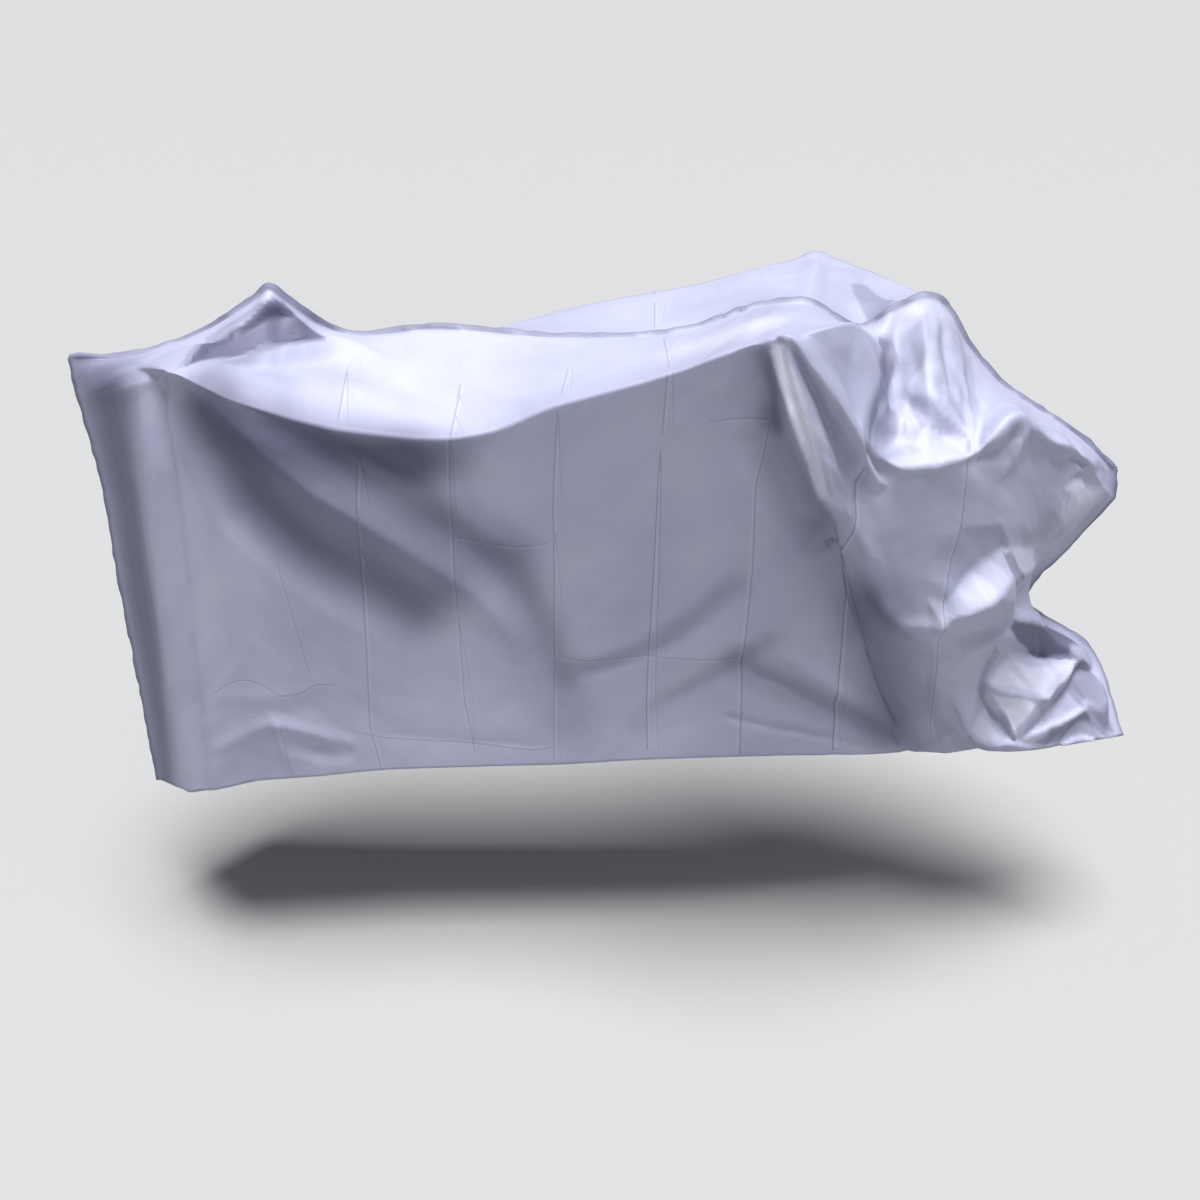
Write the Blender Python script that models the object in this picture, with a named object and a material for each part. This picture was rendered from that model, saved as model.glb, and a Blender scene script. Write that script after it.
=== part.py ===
"""A bicycle cover of thin film: two side panels, welded up the tail, along the top and down the nose.

The film is modelled as it drapes: peaked at the rear, dipped behind its middle, high and wide at the
shoulders, and bulging at the front. +X points forwards and +Y away from the near side. The origin is on the
underside of the top seam.
"""

from collections import namedtuple

import bpy
import numpy as np
from mathutils import Vector
from mathutils.bvhtree import BVHTree
from mathutils.geometry import delaunay_2d_cdt

MM = 0.001

# Sizes of the sheet
FILM_THICKNESS = 1.5 * MM
SEAM_GAP = 0.4 * MM
FIN_HEIGHT = 9 * MM

# How finely the sheet is divided: columns by how far ahead they are, rows by level
SPACING_AHEAD = (-910, -720, -660, -520, -460, 60, 160, 800)
SPACING = (27, 27, 17, 17, 32, 32, 20, 20)
ROOF_ROWS = 6
SIDE_ROWS = 18
LEVELS = 5
NORMAL_EVENINGS = 3
SEAM_SAMPLES = 4000
SHORTEST = 1e-9
MERGE = 1e-6
RAY_START = 2.0
EASING_PASSES = 1
EASING = 0.2

# The top seam's underside at the place where the cover is held
HELD_AT = (0.0, 0.0, 1.089)

# Places are millimetres: ahead of the middle, away from the near side, and above the ground.
Station = namedtuple("Station", "name seam")
SEAM = (
    Station("tail", (-910, 0, 1045)),
    Station("tail fold", (-845, 0, 1045)),
    Station("rear corner", (-710, 20, 1080)),
    Station("peak foot", (-612, 4, 1142)),
    Station("rear peak", (-590, 0, 1158)),
    Station("peak brow", (-568, 4, 1140)),
    Station("behind dip", (-485, 30, 1080)),
    Station("dip", (-350, 30, 1090)),
    Station("back", (-125, 0, 1085)),
    Station("neck", (65, 0, 1100)),
    Station("behind shoulder", (180, 0, 1140)),
    Station("shoulder", (240, 0, 1145)),
    Station("ahead of shoulder", (340, 0, 1105)),
    Station("valley", (380, 0, 1135)),
    Station("pocket", (450, 20, 1150)),
    Station("pocket end", (515, 20, 1075)),
    Station("bulge", (585, 20, 1005)),
    Station("bulge lip", (645, 10, 970)),
    Station("brow", (720, 0, 925)),
    Station("nose", (785, 0, 870)),
)

# One rib of a panel: the brink where the roof turns, where it does, then the places it passes on its way down
STRAIGHT = None
Rib = namedtuple("Rib", "name brink rim chest waist shin hem")
TAIL = Rib("tail", STRAIGHT, (-905, 0, 975), (-890, 0, 835), (-890, 0, 675), (-885, 0, 480), (-880, 0, 245))
NOSE = Rib("nose", STRAIGHT, (792, 0, 820), (740, 0, 740), (675, 0, 625), (800, -20, 535), (850, -100, 405))

NEAR_RIBS = (
    TAIL,
    Rib("tail fold", STRAIGHT, (-765, -100, 1035), (-770, -120, 905), (-780, -125, 700), (-780, -130, 505),
        (-785, -135, 315)),
    Rib("rear corner", (-700, -185, 1084), (-700, -200, 1085), (-680, -190, 930), (-665, -180, 725),
        (-655, -170, 520), (-650, -165, 355)),
    Rib("rear peak", (-596, -75, 1077), (-605, -200, 1040), (-575, -185, 905), (-555, -170, 720),
        (-540, -160, 515), (-530, -160, 365)),
    Rib("behind dip", (-483, 5, 1077), (-470, -190, 995), (-460, -170, 865), (-440, -155, 695),
        (-425, -150, 510), (-415, -150, 370)),
    Rib("dip", STRAIGHT, (-305, -180, 980), (-305, -160, 850), (-295, -150, 685), (-280, -145, 505),
        (-275, -150, 375)),
    Rib("back", STRAIGHT, (-140, -200, 1040), (-140, -185, 900), (-130, -165, 720), (-125, -150, 530),
        (-120, -150, 380)),
    Rib("neck", STRAIGHT, (15, -240, 1100), (20, -215, 945), (25, -185, 750), (30, -155, 540),
        (40, -150, 390)),
    Rib("behind shoulder", STRAIGHT, (125, -270, 1150), (145, -240, 1000), (180, -195, 770), (220, -155, 550),
        (240, -140, 390)),
    Rib("shoulder", (182, -262, 1163), (170, -285, 1165), (220, -270, 965), (290, -215, 750),
        (360, -150, 530), (400, -120, 380)),
    Rib("ahead of shoulder", (322, -125, 1121), (300, -240, 1004), (310, -232, 880), (350, -197, 712),
        (425, -135, 510), (485, -90, 365)),
    Rib("valley", (366, -120, 1015), (350, -225, 960), (375, -215, 838), (410, -200, 693), (475, -130, 505),
        (520, -90, 365)),
    Rib("pocket", STRAIGHT, (410, -215, 950), (440, -205, 830), (470, -200, 680), (520, -140, 515),
        (550, -100, 370)),
    Rib("pocket end", STRAIGHT, (480, -200, 970), (520, -185, 840), (545, -185, 700), (575, -150, 530),
        (595, -130, 400)),
    Rib("bulge", STRAIGHT, (555, -150, 1010), (570, -155, 875), (598, -165, 700), (630, -120, 530),
        (635, -150, 405)),
    Rib("bulge lip", STRAIGHT, (610, -130, 965), (625, -120, 845), (648, -90, 672), (700, -90, 535),
        (700, -140, 405)),
    Rib("brow", STRAIGHT, (695, -80, 920), (710, -60, 800), (655, -20, 640), (765, -50, 530),
        (780, -120, 405)),
    NOSE,
)

FAR_RIBS = (
    TAIL,
    Rib("tail fold", STRAIGHT, (-775, 90, 1030), (-775, 110, 900), (-775, 120, 700), (-780, 130, 505),
        (-785, 130, 335)),
    Rib("rear corner", STRAIGHT, (-710, 165, 1032), (-690, 180, 910), (-670, 178, 725), (-660, 170, 520),
        (-650, 160, 365)),
    Rib("rear peak", STRAIGHT, (-600, 200, 1030), (-580, 190, 905), (-560, 175, 720), (-545, 160, 515),
        (-535, 155, 365)),
    Rib("behind dip", STRAIGHT, (-480, 190, 1000), (-465, 170, 865), (-445, 155, 695), (-430, 150, 510),
        (-420, 150, 370)),
    Rib("dip", STRAIGHT, (-330, 185, 1030), (-320, 170, 880), (-310, 155, 690), (-300, 150, 505),
        (-295, 150, 370)),
    Rib("back", STRAIGHT, (-110, 200, 1085), (-115, 185, 920), (-120, 165, 720), (-120, 155, 530),
        (-120, 150, 370)),
    Rib("neck", STRAIGHT, (90, 220, 1120), (80, 210, 950), (70, 185, 750), (60, 160, 540), (55, 150, 370)),
    Rib("behind shoulder", STRAIGHT, (220, 255, 1145), (210, 240, 980), (200, 200, 760), (190, 160, 550),
        (185, 140, 370)),
    Rib("shoulder", STRAIGHT, (305, 280, 1157), (300, 265, 970), (290, 215, 750), (280, 160, 530),
        (275, 130, 370)),
    Rib("ahead of shoulder", STRAIGHT, (400, 250, 1138), (390, 240, 950), (380, 190, 700), (370, 140, 510),
        (365, 110, 370)),
    Rib("pocket", STRAIGHT, (480, 160, 1115), (490, 190, 930), (480, 170, 700), (470, 120, 520),
        (465, 90, 370)),
    Rib("bulge", STRAIGHT, (590, 150, 1005), (595, 150, 870), (590, 110, 700), (600, 60, 530),
        (600, 50, 375)),
    Rib("brow", STRAIGHT, (700, 80, 920), (710, 60, 800), (660, 25, 640), (750, 20, 530), (770, -30, 390)),
    NOSE,
)

# One fold of a panel: how far its flank reaches to each side in millimetres, how sharp its crest is from
# 0 to 1, and its line, as places (millimetres ahead of the middle, level, height in millimetres).
# The levels are 0 at the seam, 1 rim, 2 chest, 3 waist, 4 shin and 5 at the hem.
Fold = namedtuple("Fold", "name reach sharp line")
NEAR_FOLDS = (
    # the tail
    Fold("tail crease", 34, 1.0, ((-770, 1.0, 8), (-770, 2.0, 12), (-775, 3.0, 12), (-780, 4.0, 12),
        (-780, 4.95, 10))),
    Fold("beside tail crease", 26, 0.2, ((-740, 1.15, -10), (-730, 2.05, -9), (-735, 2.95, -8),
        (-745, 3.95, -8), (-750, 4.95, -6))),
    Fold("tail hollow", 60, 0.1, ((-840, 1.1, -6), (-840, 2.25, -12), (-835, 3.4, -12),
        (-855, 4.6, -8))),
    # the swags across the rear
    Fold("first swag hollow", 60, 0.2, ((-685, 1.2, -4), (-640, 1.8, -20), (-610, 2.3, -26),
        (-545, 2.65, -22), (-480, 2.9, -14), (-400, 3.2, 0))),
    Fold("first swag", 48, 0.5, ((-675, 1.1, 0), (-600, 1.45, 12), (-515, 1.9, 18), (-400, 2.3, 22),
        (-285, 2.8, 16), (-200, 3.45, 4))),
    Fold("second swag hollow", 45, 0.2, ((-645, 1.05, -2), (-520, 1.1, -10), (-410, 1.6, -18),
        (-335, 2.1, -16), (-235, 2.7, -6), (-175, 3.25, 0))),
    Fold("dip hollow", 50, 0.2, ((-610, 0.7, -4), (-490, 0.6, -6), (-355, 0.65, -6), (-230, 0.75, 0))),
    Fold("dip crest", 14, 0.7, ((-480, 1.05, 3), (-420, 1.0, 5), (-355, 1.05, 5), (-310, 1.05, 4),
        (-245, 1.0, 4))),
    Fold("back hollow", 48, 0.2, ((-225, 2.5, 0), (-205, 3.0, -10), (-170, 3.55, -12), (-145, 4.0, -8),
        (-130, 4.4, 0))),
    Fold("slanting hollow", 26, 0.1, ((-130, 3.85, 0), (-75, 3.8, -5), (5, 3.65, -8), (80, 3.45, -8),
        (135, 3.15, -6), (155, 2.85, 0))),
    Fold("lower slanting hollow", 24, 0.1, ((-5, 4.45, 0), (75, 4.1, -6), (145, 3.85, -7),
        (195, 3.65, -9), (230, 3.4, 0))),
    # along the rear hem
    Fold("hem crest", 22, 0.7, ((-705, 4.5, 2), (-615, 4.25, 6), (-570, 4.35, 7), (-500, 4.55, 3))),
    Fold("hem crest drop", 14, 0.6, ((-610, 4.3, 4), (-605, 4.6, 4), (-595, 4.95, 0))),
    Fold("hem dent", 26, 0.2, ((-585, 4.55, -3), (-550, 4.65, -8), (-505, 4.75, -3))),
    # from the shoulder down
    Fold("shoulder great hollow", 62, 0.1, ((150, 1.55, -2), (175, 1.9, -8), (205, 2.2, -12),
        (245, 2.5, -14), (275, 2.75, -14), (318, 2.95, -14), (405, 3.6, -14), (500, 4.75, -4))),
    Fold("below tip", 28, 0.5, ((262, 2.15, 3), (290, 2.1, 7), (320, 2.3, 8), (350, 2.7, 8),
        (375, 2.95, 8))),
    Fold("upper low fold", 18, 0.8, ((150, 3.8, -2), (190, 3.95, -8), (245, 4.05, -9), (355, 4.35, -8),
        (490, 4.9, -3))),
    Fold("lower low fold", 15, 0.8, ((150, 4.45, -6), (220, 4.6, -6), (305, 4.7, -6), (480, 5.0, -3))),
    Fold("above low fold", 30, 0.3, ((240, 3.75, 4), (330, 4.05, 8), (430, 4.4, 5))),
    Fold("pocket crease", 11, 0.9, ((305, 1.1, -6), (305, 1.35, -7), (300, 1.8, -6), (295, 2.15, -2))),
    Fold("bulge ledge", 26, 0.8, ((365, 2.95, 6), (405, 3.1, 12), (465, 3.0, 12))),
    Fold("under ledge", 36, 0.2, ((385, 3.3, -6), (440, 3.4, -12), (490, 3.3, -8))),
)

# One edge of the film's flat facets: its line, as places (millimetres ahead of the middle, level, height in
# millimetres). A zone's facets span its edges; its first edge is the frame round them, where they end.
Edge = namedtuple("Edge", "name line")
Zone = namedtuple("Zone", "name edges")
NEAR_ZONES = (
    Zone("rear", (
        Edge("rear frame", ((-910, 0.05, 0), (-900, 1, 0), (-870, 1.1, 0), (-785, 1.2, 0), (-760, 1.15, 0),
            (-700, 1, 0), (-605, 0.95, 0), (-525, 0.95, 0), (-460, 0.95, 0), (-385, 0.75, 0),
            (-345, 0.15, 0), (-395, 0.05, 0))),
        Edge("peak strip edge", ((-590, 0.15, 8), (-625, 0.25, 10), (-660, 0.35, 9), (-680, 0.5, 4),
            (-695, 0.95, 0))),
        Edge("peak facet floor", ((-570, 0.15, -2), (-595, 0.25, -5), (-640, 0.3, -6), (-665, 0.4, -3))),
        Edge("bright ridge", ((-685, 0.85, 1), (-645, 0.5, 6), (-595, 0.45, 9), (-545, 0.45, 8),
            (-480, 0.4, 3))),
        Edge("peak small fold", ((-570, 0.35, 3), (-550, 0.1, 7))),
        Edge("grey strip floor", ((-595, 0.62, -3), (-515, 0.62, -5), (-425, 0.5, -3))),
        Edge("roof bulge", ((-600, 0.75, 5), (-505, 0.8, 7), (-415, 0.7, 4))),
        Edge("tail ear edge", ((-870, 0.85, 9), (-835, 0.7, 8), (-780, 0.45, 5))),
        Edge("tail ear floor", ((-865, 0.1, -2), (-830, 0.1, -2))),
    )),
    Zone("shoulder", (
        Edge("shoulder frame", ((40, 1.05, 0), (100, 1, 0), (150, 0.95, 0), (230, 0.3, 0), (300, 0.5, 0),
            (355, 0.05, 0), (370, 0.15, 0), (385, 0.35, 0), (385, 0.6, 0), (385, 0.9, 0), (365, 1.05, 0),
            (385, 1.75, 0), (360, 2.3, 0), (310, 2.65, 0), (230, 2.85, 0), (150, 2.45, 0), (85, 1.85, 0))),
        Edge("shoulder notch", ((125, 1.05, -4), (135, 1.35, -13), (150, 1.65, -12), (160, 1.9, -5))),
        Edge("shoulder rear ridge", ((145, 1.05, 5), (170, 1.4, 15), (190, 1.6, 20), (215, 1.85, 21),
            (240, 2.15, 13))),
        Edge("between ridges", ((160, 1.05, 0), (180, 1.4, 8), (200, 1.65, 12), (220, 1.9, 13),
            (240, 2.1, 9))),
        Edge("shoulder middle ridge", ((165, 1.05, 5), (190, 1.35, 14), (210, 1.6, 18), (225, 1.8, 18),
            (250, 2.05, 11))),
        Edge("dark flank foot", ((185, 1.1, -3), (215, 1.25, -6), (240, 1.35, -7), (260, 1.5, -5),
            (275, 1.75, -1))),
        Edge("shoulder front ridge", ((170, 1, 5), (195, 1.1, 12), (225, 1.15, 17), (260, 1.1, 20),
            (290, 1.1, 18))),
        Edge("shoulder tip", ((245, 2.2, 12), (260, 2.15, 11), (290, 1.9, 5))),
        Edge("great hollow floor", ((160, 2.1, -10), (193, 2.35, -18), (222, 2.58, -20), (262, 2.68, -12))),
        Edge("pocket crest", ((320, 0.5, 4), (315, 0.6, 8), (305, 0.8, 8), (295, 0.95, 6))),
        Edge("crumpled edge", ((280, 0.6, 2), (275, 0.75, -5), (275, 0.85, -4), (285, 0.95, 0))),
        Edge("front flat", ((230, 0.75, -3), (255, 0.85, -4))),
        Edge("dark wedge", ((315, 1.1, -8), (335, 1.2, -10), (350, 1.3, -3))),
    )),
    Zone("pocket", (
        Edge("pocket frame", ((350, 0.2, 0), (340, 0.55, 0), (320, 0.85, 0), (302, 0.92, 0), (298, 1.02, 0),
            (340, 1.1, 0), (365, 1.12, 0), (420, 1.1, 0), (490, 1.1, 0), (500, 0.95, 0), (508, 0.55, 0),
            (515, 0.1, 0), (490, 0, 0), (450, 0.02, 0), (415, 0, 0), (385, 0.05, 0))),
        Edge("pocket wall foot", ((380, 0.15, -5), (385, 0.2, -9), (375, 0.35, -11), (360, 0.5, -11),
            (320, 0.9, -4))),
        Edge("curled lip", ((345, 0.65, 2), (375, 0.55, 7), (390, 0.7, 6), (380, 0.75, 2))),
        Edge("under lip", ((355, 0.75, -6), (370, 0.75, -4))),
        Edge("lower bright top", ((315, 0.93, -1), (365, 0.82, -2), (395, 0.82, -5), (440, 0.88, -6),
            (468, 0.95, -2))),
        Edge("pocket rim", ((305, 1.05, 5), (340, 1, 6), (360, 1, 7), (415, 1, 8), (475, 1, 6))),
        Edge("grey upright", ((380, 0.8, -4), (385, 0.9, -1))),
        Edge("cross ridge", ((390, 0.4, 1), (422, 0.58, 6), (455, 0.7, 8), (478, 0.84, 6))),
        Edge("cross floor", ((385, 0.45, -4), (415, 0.7, -7), (445, 0.8, -6))),
        Edge("light upright", ((425, 0.1, 4), (425, 0.3, 8), (420, 0.5, 6))),
        Edge("grey hollow", ((455, 0.15, -2), (460, 0.3, -6), (455, 0.55, -3))),
        Edge("right bright edge", ((485, 0.1, 3), (485, 0.3, 8), (485, 0.55, 9), (485, 0.8, 6))),
        Edge("wall hollow", ((400, 0.15, -3), (405, 0.3, -2))),
    )),
    Zone("shelf", (
        Edge("shelf frame", ((435, 2.7, 0), (430, 2.25, 0), (475, 1.9, 0), (545, 2.1, 0), (675, 2.25, 0),
            (715, 2.25, 0), (672, 2.7, 0), (662, 3, 0), (645, 3.15, 0), (600, 3.38, 0), (510, 3.38, 0),
            (460, 3.2, 0))),
        Edge("shelf top line", ((470, 2.75, -6), (510, 2.5, -14), (535, 2.4, -18), (560, 2.4, -16))),
        Edge("shelf spike", ((560, 2.45, -10), (565, 2.6, 0), (570, 2.7, 10))),
        Edge("shelf crest", ((465, 2.95, 10), (495, 2.85, 26), (525, 2.8, 34), (555, 2.8, 24))),
        Edge("shelf fold line", ((475, 3.05, 6), (505, 2.95, 18), (535, 2.95, 24))),
        Edge("under shelf", ((495, 3.2, -4), (540, 3.3, -9), (585, 3.3, -12), (610, 3.05, -10),
            (615, 2.9, -6))),
        Edge("right light top", ((575, 2.45, -8), (670, 2.4, -4))),
        Edge("right light foot", ((590, 2.75, 4), (675, 2.55, 4))),
    )),
    Zone("low front", (
        Edge("low frame", ((455, 3.2, 0), (500, 3.42, 0), (560, 3.45, 0), (600, 3.25, 0), (625, 3.08, 0),
            (705, 3.15, 0), (785, 3.7, 0), (822, 4.2, 0), (838, 4.6, 0), (845, 5, 0), (695, 5, 0),
            (590, 5, 0), (530, 4.85, 0), (485, 4.05, 0))),
        Edge("left ridge", ((495, 3.7, 8), (525, 4, 16), (565, 4.55, 18))),
        Edge("left hollow", ((530, 3.5, -6), (555, 4, -6), (575, 4.35, -2))),
        Edge("neck valley", ((585, 3.45, -8), (595, 3.7, -11), (570, 3.95, -11), (575, 4.2, -9),
            (615, 4.5, -7), (635, 4.8, -2))),
        Edge("neck right", ((600, 3.45, -6), (615, 3.65, -6))),
        Edge("facet edge", ((580, 3.95, 6), (620, 4.1, 16), (675, 4.3, 24))),
        Edge("facet left", ((585, 4, 4), (615, 4.35, 10), (640, 4.75, 12))),
        Edge("lens top", ((612, 3.2, 4), (655, 3.28, 10), (735, 3.62, 12), (780, 3.9, 8))),
        Edge("lens foot", ((632, 3.62, -12), (675, 3.78, -18), (715, 3.84, -22), (748, 3.94, -12))),
        Edge("lens bright top", ((635, 3.5, -6), (665, 3.7, -12))),
        Edge("facet middle", ((690, 3.95, -2), (665, 3.85, -4))),
        Edge("strip left", ((684, 4.2, 16), (706, 4.05, 8), (760, 3.98, -2))),
        Edge("strip crest", ((690, 4.33, 26), (716, 4.2, 20), (772, 4.05, 10))),
        Edge("long valley", ((650, 4.85, 2), (710, 4.55, -8), (755, 4.3, -10), (805, 4.1, -4))),
        Edge("low facet edge", ((575, 4.7, 18), (615, 4.9, 14))),
        Edge("low facet fold", ((585, 4.3, -4), (605, 4.65, 2))),
        Edge("front ridge", ((665, 4.8, 6), (705, 4.7, 18), (765, 4.6, 22), (825, 4.6, 10))),
        Edge("front facet top", ((750, 4.4, -2), (780, 4.55, 6))),
        Edge("front hem", ((718, 4.94, -6), (785, 4.94, -10), (832, 4.9, -8))),
    )),
)

FAR_FOLDS = (
    Fold("tail crease", 34, 0.9, ((-770, 1.2, 0), (-775, 2.5, 10), (-785, 4.95, 8))),
    Fold("corner wedge", 50, 0.5, ((-697, 1.4, 0), (-705, 2.1, 12), (-690, 3.4, 6), (-680, 4.2, 0))),
    Fold("swag hollow", 58, 0.2, ((-680, 1.3, 0), (-620, 2.0, -20), (-520, 2.9, -18), (-420, 3.6, 0))),
    Fold("swag", 46, 0.5, ((-680, 1.1, 0), (-560, 1.9, 18), (-430, 2.5, 20), (-300, 3.2, 6))),
    Fold("back hollow", 52, 0.2, ((-190, 1.4, 0), (-170, 2.4, -12), (-150, 3.6, -10), (-140, 4.6, 0))),
    Fold("shoulder rear ridge", 34, 0.8, ((290, 1.0, 6), (250, 1.8, 18), (200, 2.8, 16), (150, 3.9, 0))),
    Fold("shoulder great hollow", 60, 0.2, ((320, 1.3, -6), (310, 2.0, -30), (290, 3.0, -28),
        (270, 4.2, -8))),
    Fold("shoulder front ridge", 32, 0.8, ((320, 1.0, 6), (360, 1.6, 20), (400, 2.3, 16),
        (430, 3.0, 0))),
    Fold("bulge corner", 30, 0.7, ((480, 1.0, 8), (500, 1.8, 14), (490, 2.6, 6))),
    Fold("bulge ledge", 34, 0.8, ((430, 3.0, 8), (500, 3.1, 16), (580, 2.95, 8))),
    Fold("low front hollow", 26, 0.3, ((600, 3.3, -6), (670, 3.5, -14), (740, 3.8, -4))),
    Fold("low rear ridge", 30, 0.7, ((460, 3.8, 6), (530, 4.2, 14), (590, 4.8, 6))),
    Fold("low fold", 26, 0.6, ((200, 3.9, -4), (330, 4.3, -10), (450, 4.9, -2))),
    Fold("peak edge", 30, 0.8, ((-590, 0.0, 4), (-630, 0.4, 10), (-665, 0.7, 0))),
    Fold("shoulder roof ridge", 32, 0.6, ((250, 0.1, 4), (285, 0.6, 10), (305, 1.0, 6))),
)

# Colours of the film: linear values
FILM_COLOUR = (0.42, 0.43, 0.55, 1.0)
FILM_ROUGHNESS = 0.42


def knots_along(points):
    """Running length through the points, which spaces the stations."""
    steps = np.linalg.norm(np.diff(points, axis=0), axis=1)
    return np.concatenate([[0.0], np.cumsum(steps)])


def smooth_through(knots, values, at):
    """A smooth curve through values at the knots, read at the places in at."""
    slopes = np.empty_like(values)
    spans = np.diff(knots)
    rises = np.diff(values, axis=0) / spans.reshape(-1, *[1] * (values.ndim - 1))
    before = spans[:-1].reshape(-1, *[1] * (values.ndim - 1))
    after = spans[1:].reshape(-1, *[1] * (values.ndim - 1))
    slopes[1:-1] = (rises[:-1] * after + rises[1:] * before) / (before + after)
    slopes[0] = rises[0]
    slopes[-1] = rises[-1]
    start = np.clip(np.searchsorted(knots, at, side="right") - 1, 0, len(knots) - 2)
    shape = (-1, *[1] * (values.ndim - 1))
    span = spans[start].reshape(shape)
    part = ((at - knots[start]) / spans[start]).reshape(shape)
    blend = part * part * (3 - 2 * part)
    lean_out = part * (1 - part) ** 2 * span
    lean_in = part * part * (part - 1) * span
    return (
        values[start] * (1 - blend)
        + values[start + 1] * blend
        + slopes[start] * lean_out
        + slopes[start + 1] * lean_in
    )


def column_places(knots, seam):
    """Where the columns cross the seam: closer together towards the front."""
    run = np.linspace(0, knots[-1], SEAM_SAMPLES)
    ahead = np.interp(run, knots, seam[:, 0]) / MM
    density = 1 / (np.interp(ahead, SPACING_AHEAD, SPACING) * MM)
    count = np.concatenate([[0.0], np.cumsum((density[1:] + density[:-1]) / 2 * np.diff(run))])
    columns = int(round(count[-1]))
    return np.interp(np.linspace(0, count[-1], columns + 1), count, run)


def panel_surface(ribs):
    """The panel's outer surface: rows from the seam to the hem, columns from the tail to the nose."""
    names = [station.name for station in SEAM]
    seam = np.array([station.seam for station in SEAM]) * MM
    knots = knots_along(seam)
    columns = column_places(knots, seam)
    rib_knots = np.array([knots[names.index(rib.name)] for rib in ribs])
    levels = np.array([rib[2:] for rib in ribs]) * MM
    seam_line = smooth_through(knots, seam, columns)
    lines = smooth_through(rib_knots, levels, columns)
    seam_at_ribs = smooth_through(knots, seam, rib_knots)
    brinks = [
        (start + rib_levels[0]) / 2 if rib.brink is STRAIGHT else np.array(rib.brink) * MM
        for rib, start, rib_levels in zip(ribs, seam_at_ribs, levels)
    ]
    brink_line = smooth_through(rib_knots, np.array(brinks), columns)

    part = (np.arange(ROOF_ROWS // 2) * 2 / ROOF_ROWS).reshape(-1, 1, 1)
    upper_roof = seam_line + (brink_line - seam_line) * part
    lower_roof = brink_line + (lines[:, 0] - brink_line) * part
    side_knots = np.arange(lines.shape[1], dtype=float)
    down = np.linspace(0, side_knots[-1], SIDE_ROWS + 1)
    side = smooth_through(side_knots, lines.transpose(1, 0, 2), down)
    return np.concatenate([upper_roof, lower_roof, side])


ROW_LEVELS = np.concatenate([
    np.arange(ROOF_ROWS) / ROOF_ROWS,
    np.linspace(1, LEVELS, SIDE_ROWS + 1),
])


def unit(vectors):
    """The same directions at a length of one."""
    return vectors / np.maximum(np.linalg.norm(vectors, axis=-1, keepdims=True), SHORTEST)


def outward(surface, side):
    """Unit normals of a grid of points, evened out over their neighbours."""
    normal = unit(np.cross(np.gradient(surface, axis=1), np.gradient(surface, axis=0))) * side
    for _ in range(NORMAL_EVENINGS):
        padded = np.pad(normal, ((1, 1), (1, 1), (0, 0)), mode="edge")
        normal = unit(normal + padded[:-2, 1:-1] + padded[2:, 1:-1] + padded[1:-1, :-2] + padded[1:-1, 2:])
    return normal


def read_at(surface, values, ahead, level):
    """What a grid of values holds at the panel's place that is this far ahead at this level."""
    row = np.interp(level, ROW_LEVELS, np.arange(len(surface)))
    upper = min(int(row), len(surface) - 2)
    part = row - upper
    order = np.maximum.accumulate(surface[upper, :, 0] * (1 - part) + surface[upper + 1, :, 0] * part)
    line = values[upper] * (1 - part) + values[upper + 1] * part
    return np.array([np.interp(ahead, order, line[:, axis]) for axis in range(values.shape[2])])


def place_on(surface, ahead, level):
    """The point of the panel that is this far ahead at this level."""
    return read_at(surface, surface, ahead, level)


def fold_height(surface, fold):
    """How high the fold lifts each point: most on its line, and nothing beyond its reach."""
    line = np.array([place_on(surface, ahead * MM, level) for ahead, level, _ in fold.line])
    heights = np.array([height for _, _, height in fold.line]) * MM
    nearest = np.full(surface.shape[:2], np.inf)
    lift = np.zeros(surface.shape[:2])
    for start, end, low, high in zip(line[:-1], line[1:], heights[:-1], heights[1:]):
        run = end - start
        part = np.clip((surface - start) @ run / (run @ run), 0, 1)
        distance = np.linalg.norm(surface - start - part[..., None] * run, axis=2)
        closer = distance < nearest
        nearest[closer] = distance[closer]
        lift[closer] = (low + (high - low) * part)[closer]
    fade = np.clip(1 - nearest / (fold.reach * MM), 0, 1)
    crest = fold.sharp * fade**1.5 + (1 - fold.sharp) * fade * fade * (3 - 2 * fade)
    return lift * crest


def flat_places(surface):
    """Where each point lies on the flat film: metres along the panel, and metres down from the seam."""
    down = np.concatenate([
        np.zeros((1, surface.shape[1])),
        np.cumsum(np.linalg.norm(np.diff(surface, axis=0), axis=2), axis=0),
    ])
    middle = surface[len(surface) // 2]
    along = knots_along(middle)
    return np.stack([np.broadcast_to(along, down.shape), down], axis=2)


def facet_field(flat, corners, heights, edges):
    """The height of flat facets that span these corners and edges, at each place of the flat film."""
    points, _, faces, origin, _, _ = delaunay_2d_cdt([Vector(c) for c in corners], edges, [], 0, MERGE)
    raised = [(p.x, p.y, heights[origin[i][0]] if origin[i] else 0.0) for i, p in enumerate(points)]
    facets = BVHTree.FromPolygons(raised, faces)
    low = np.min(corners, axis=0)
    high = np.max(corners, axis=0)
    near = np.all((flat > low) & (flat < high), axis=2)
    field = np.zeros(flat.shape[:2])
    for row, column in np.argwhere(near):
        place = flat[row, column]
        hit = facets.ray_cast(Vector((place[0], place[1], RAY_START)), Vector((0, 0, -1)))[0]
        field[row, column] = hit.z if hit else 0
    return field


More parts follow.
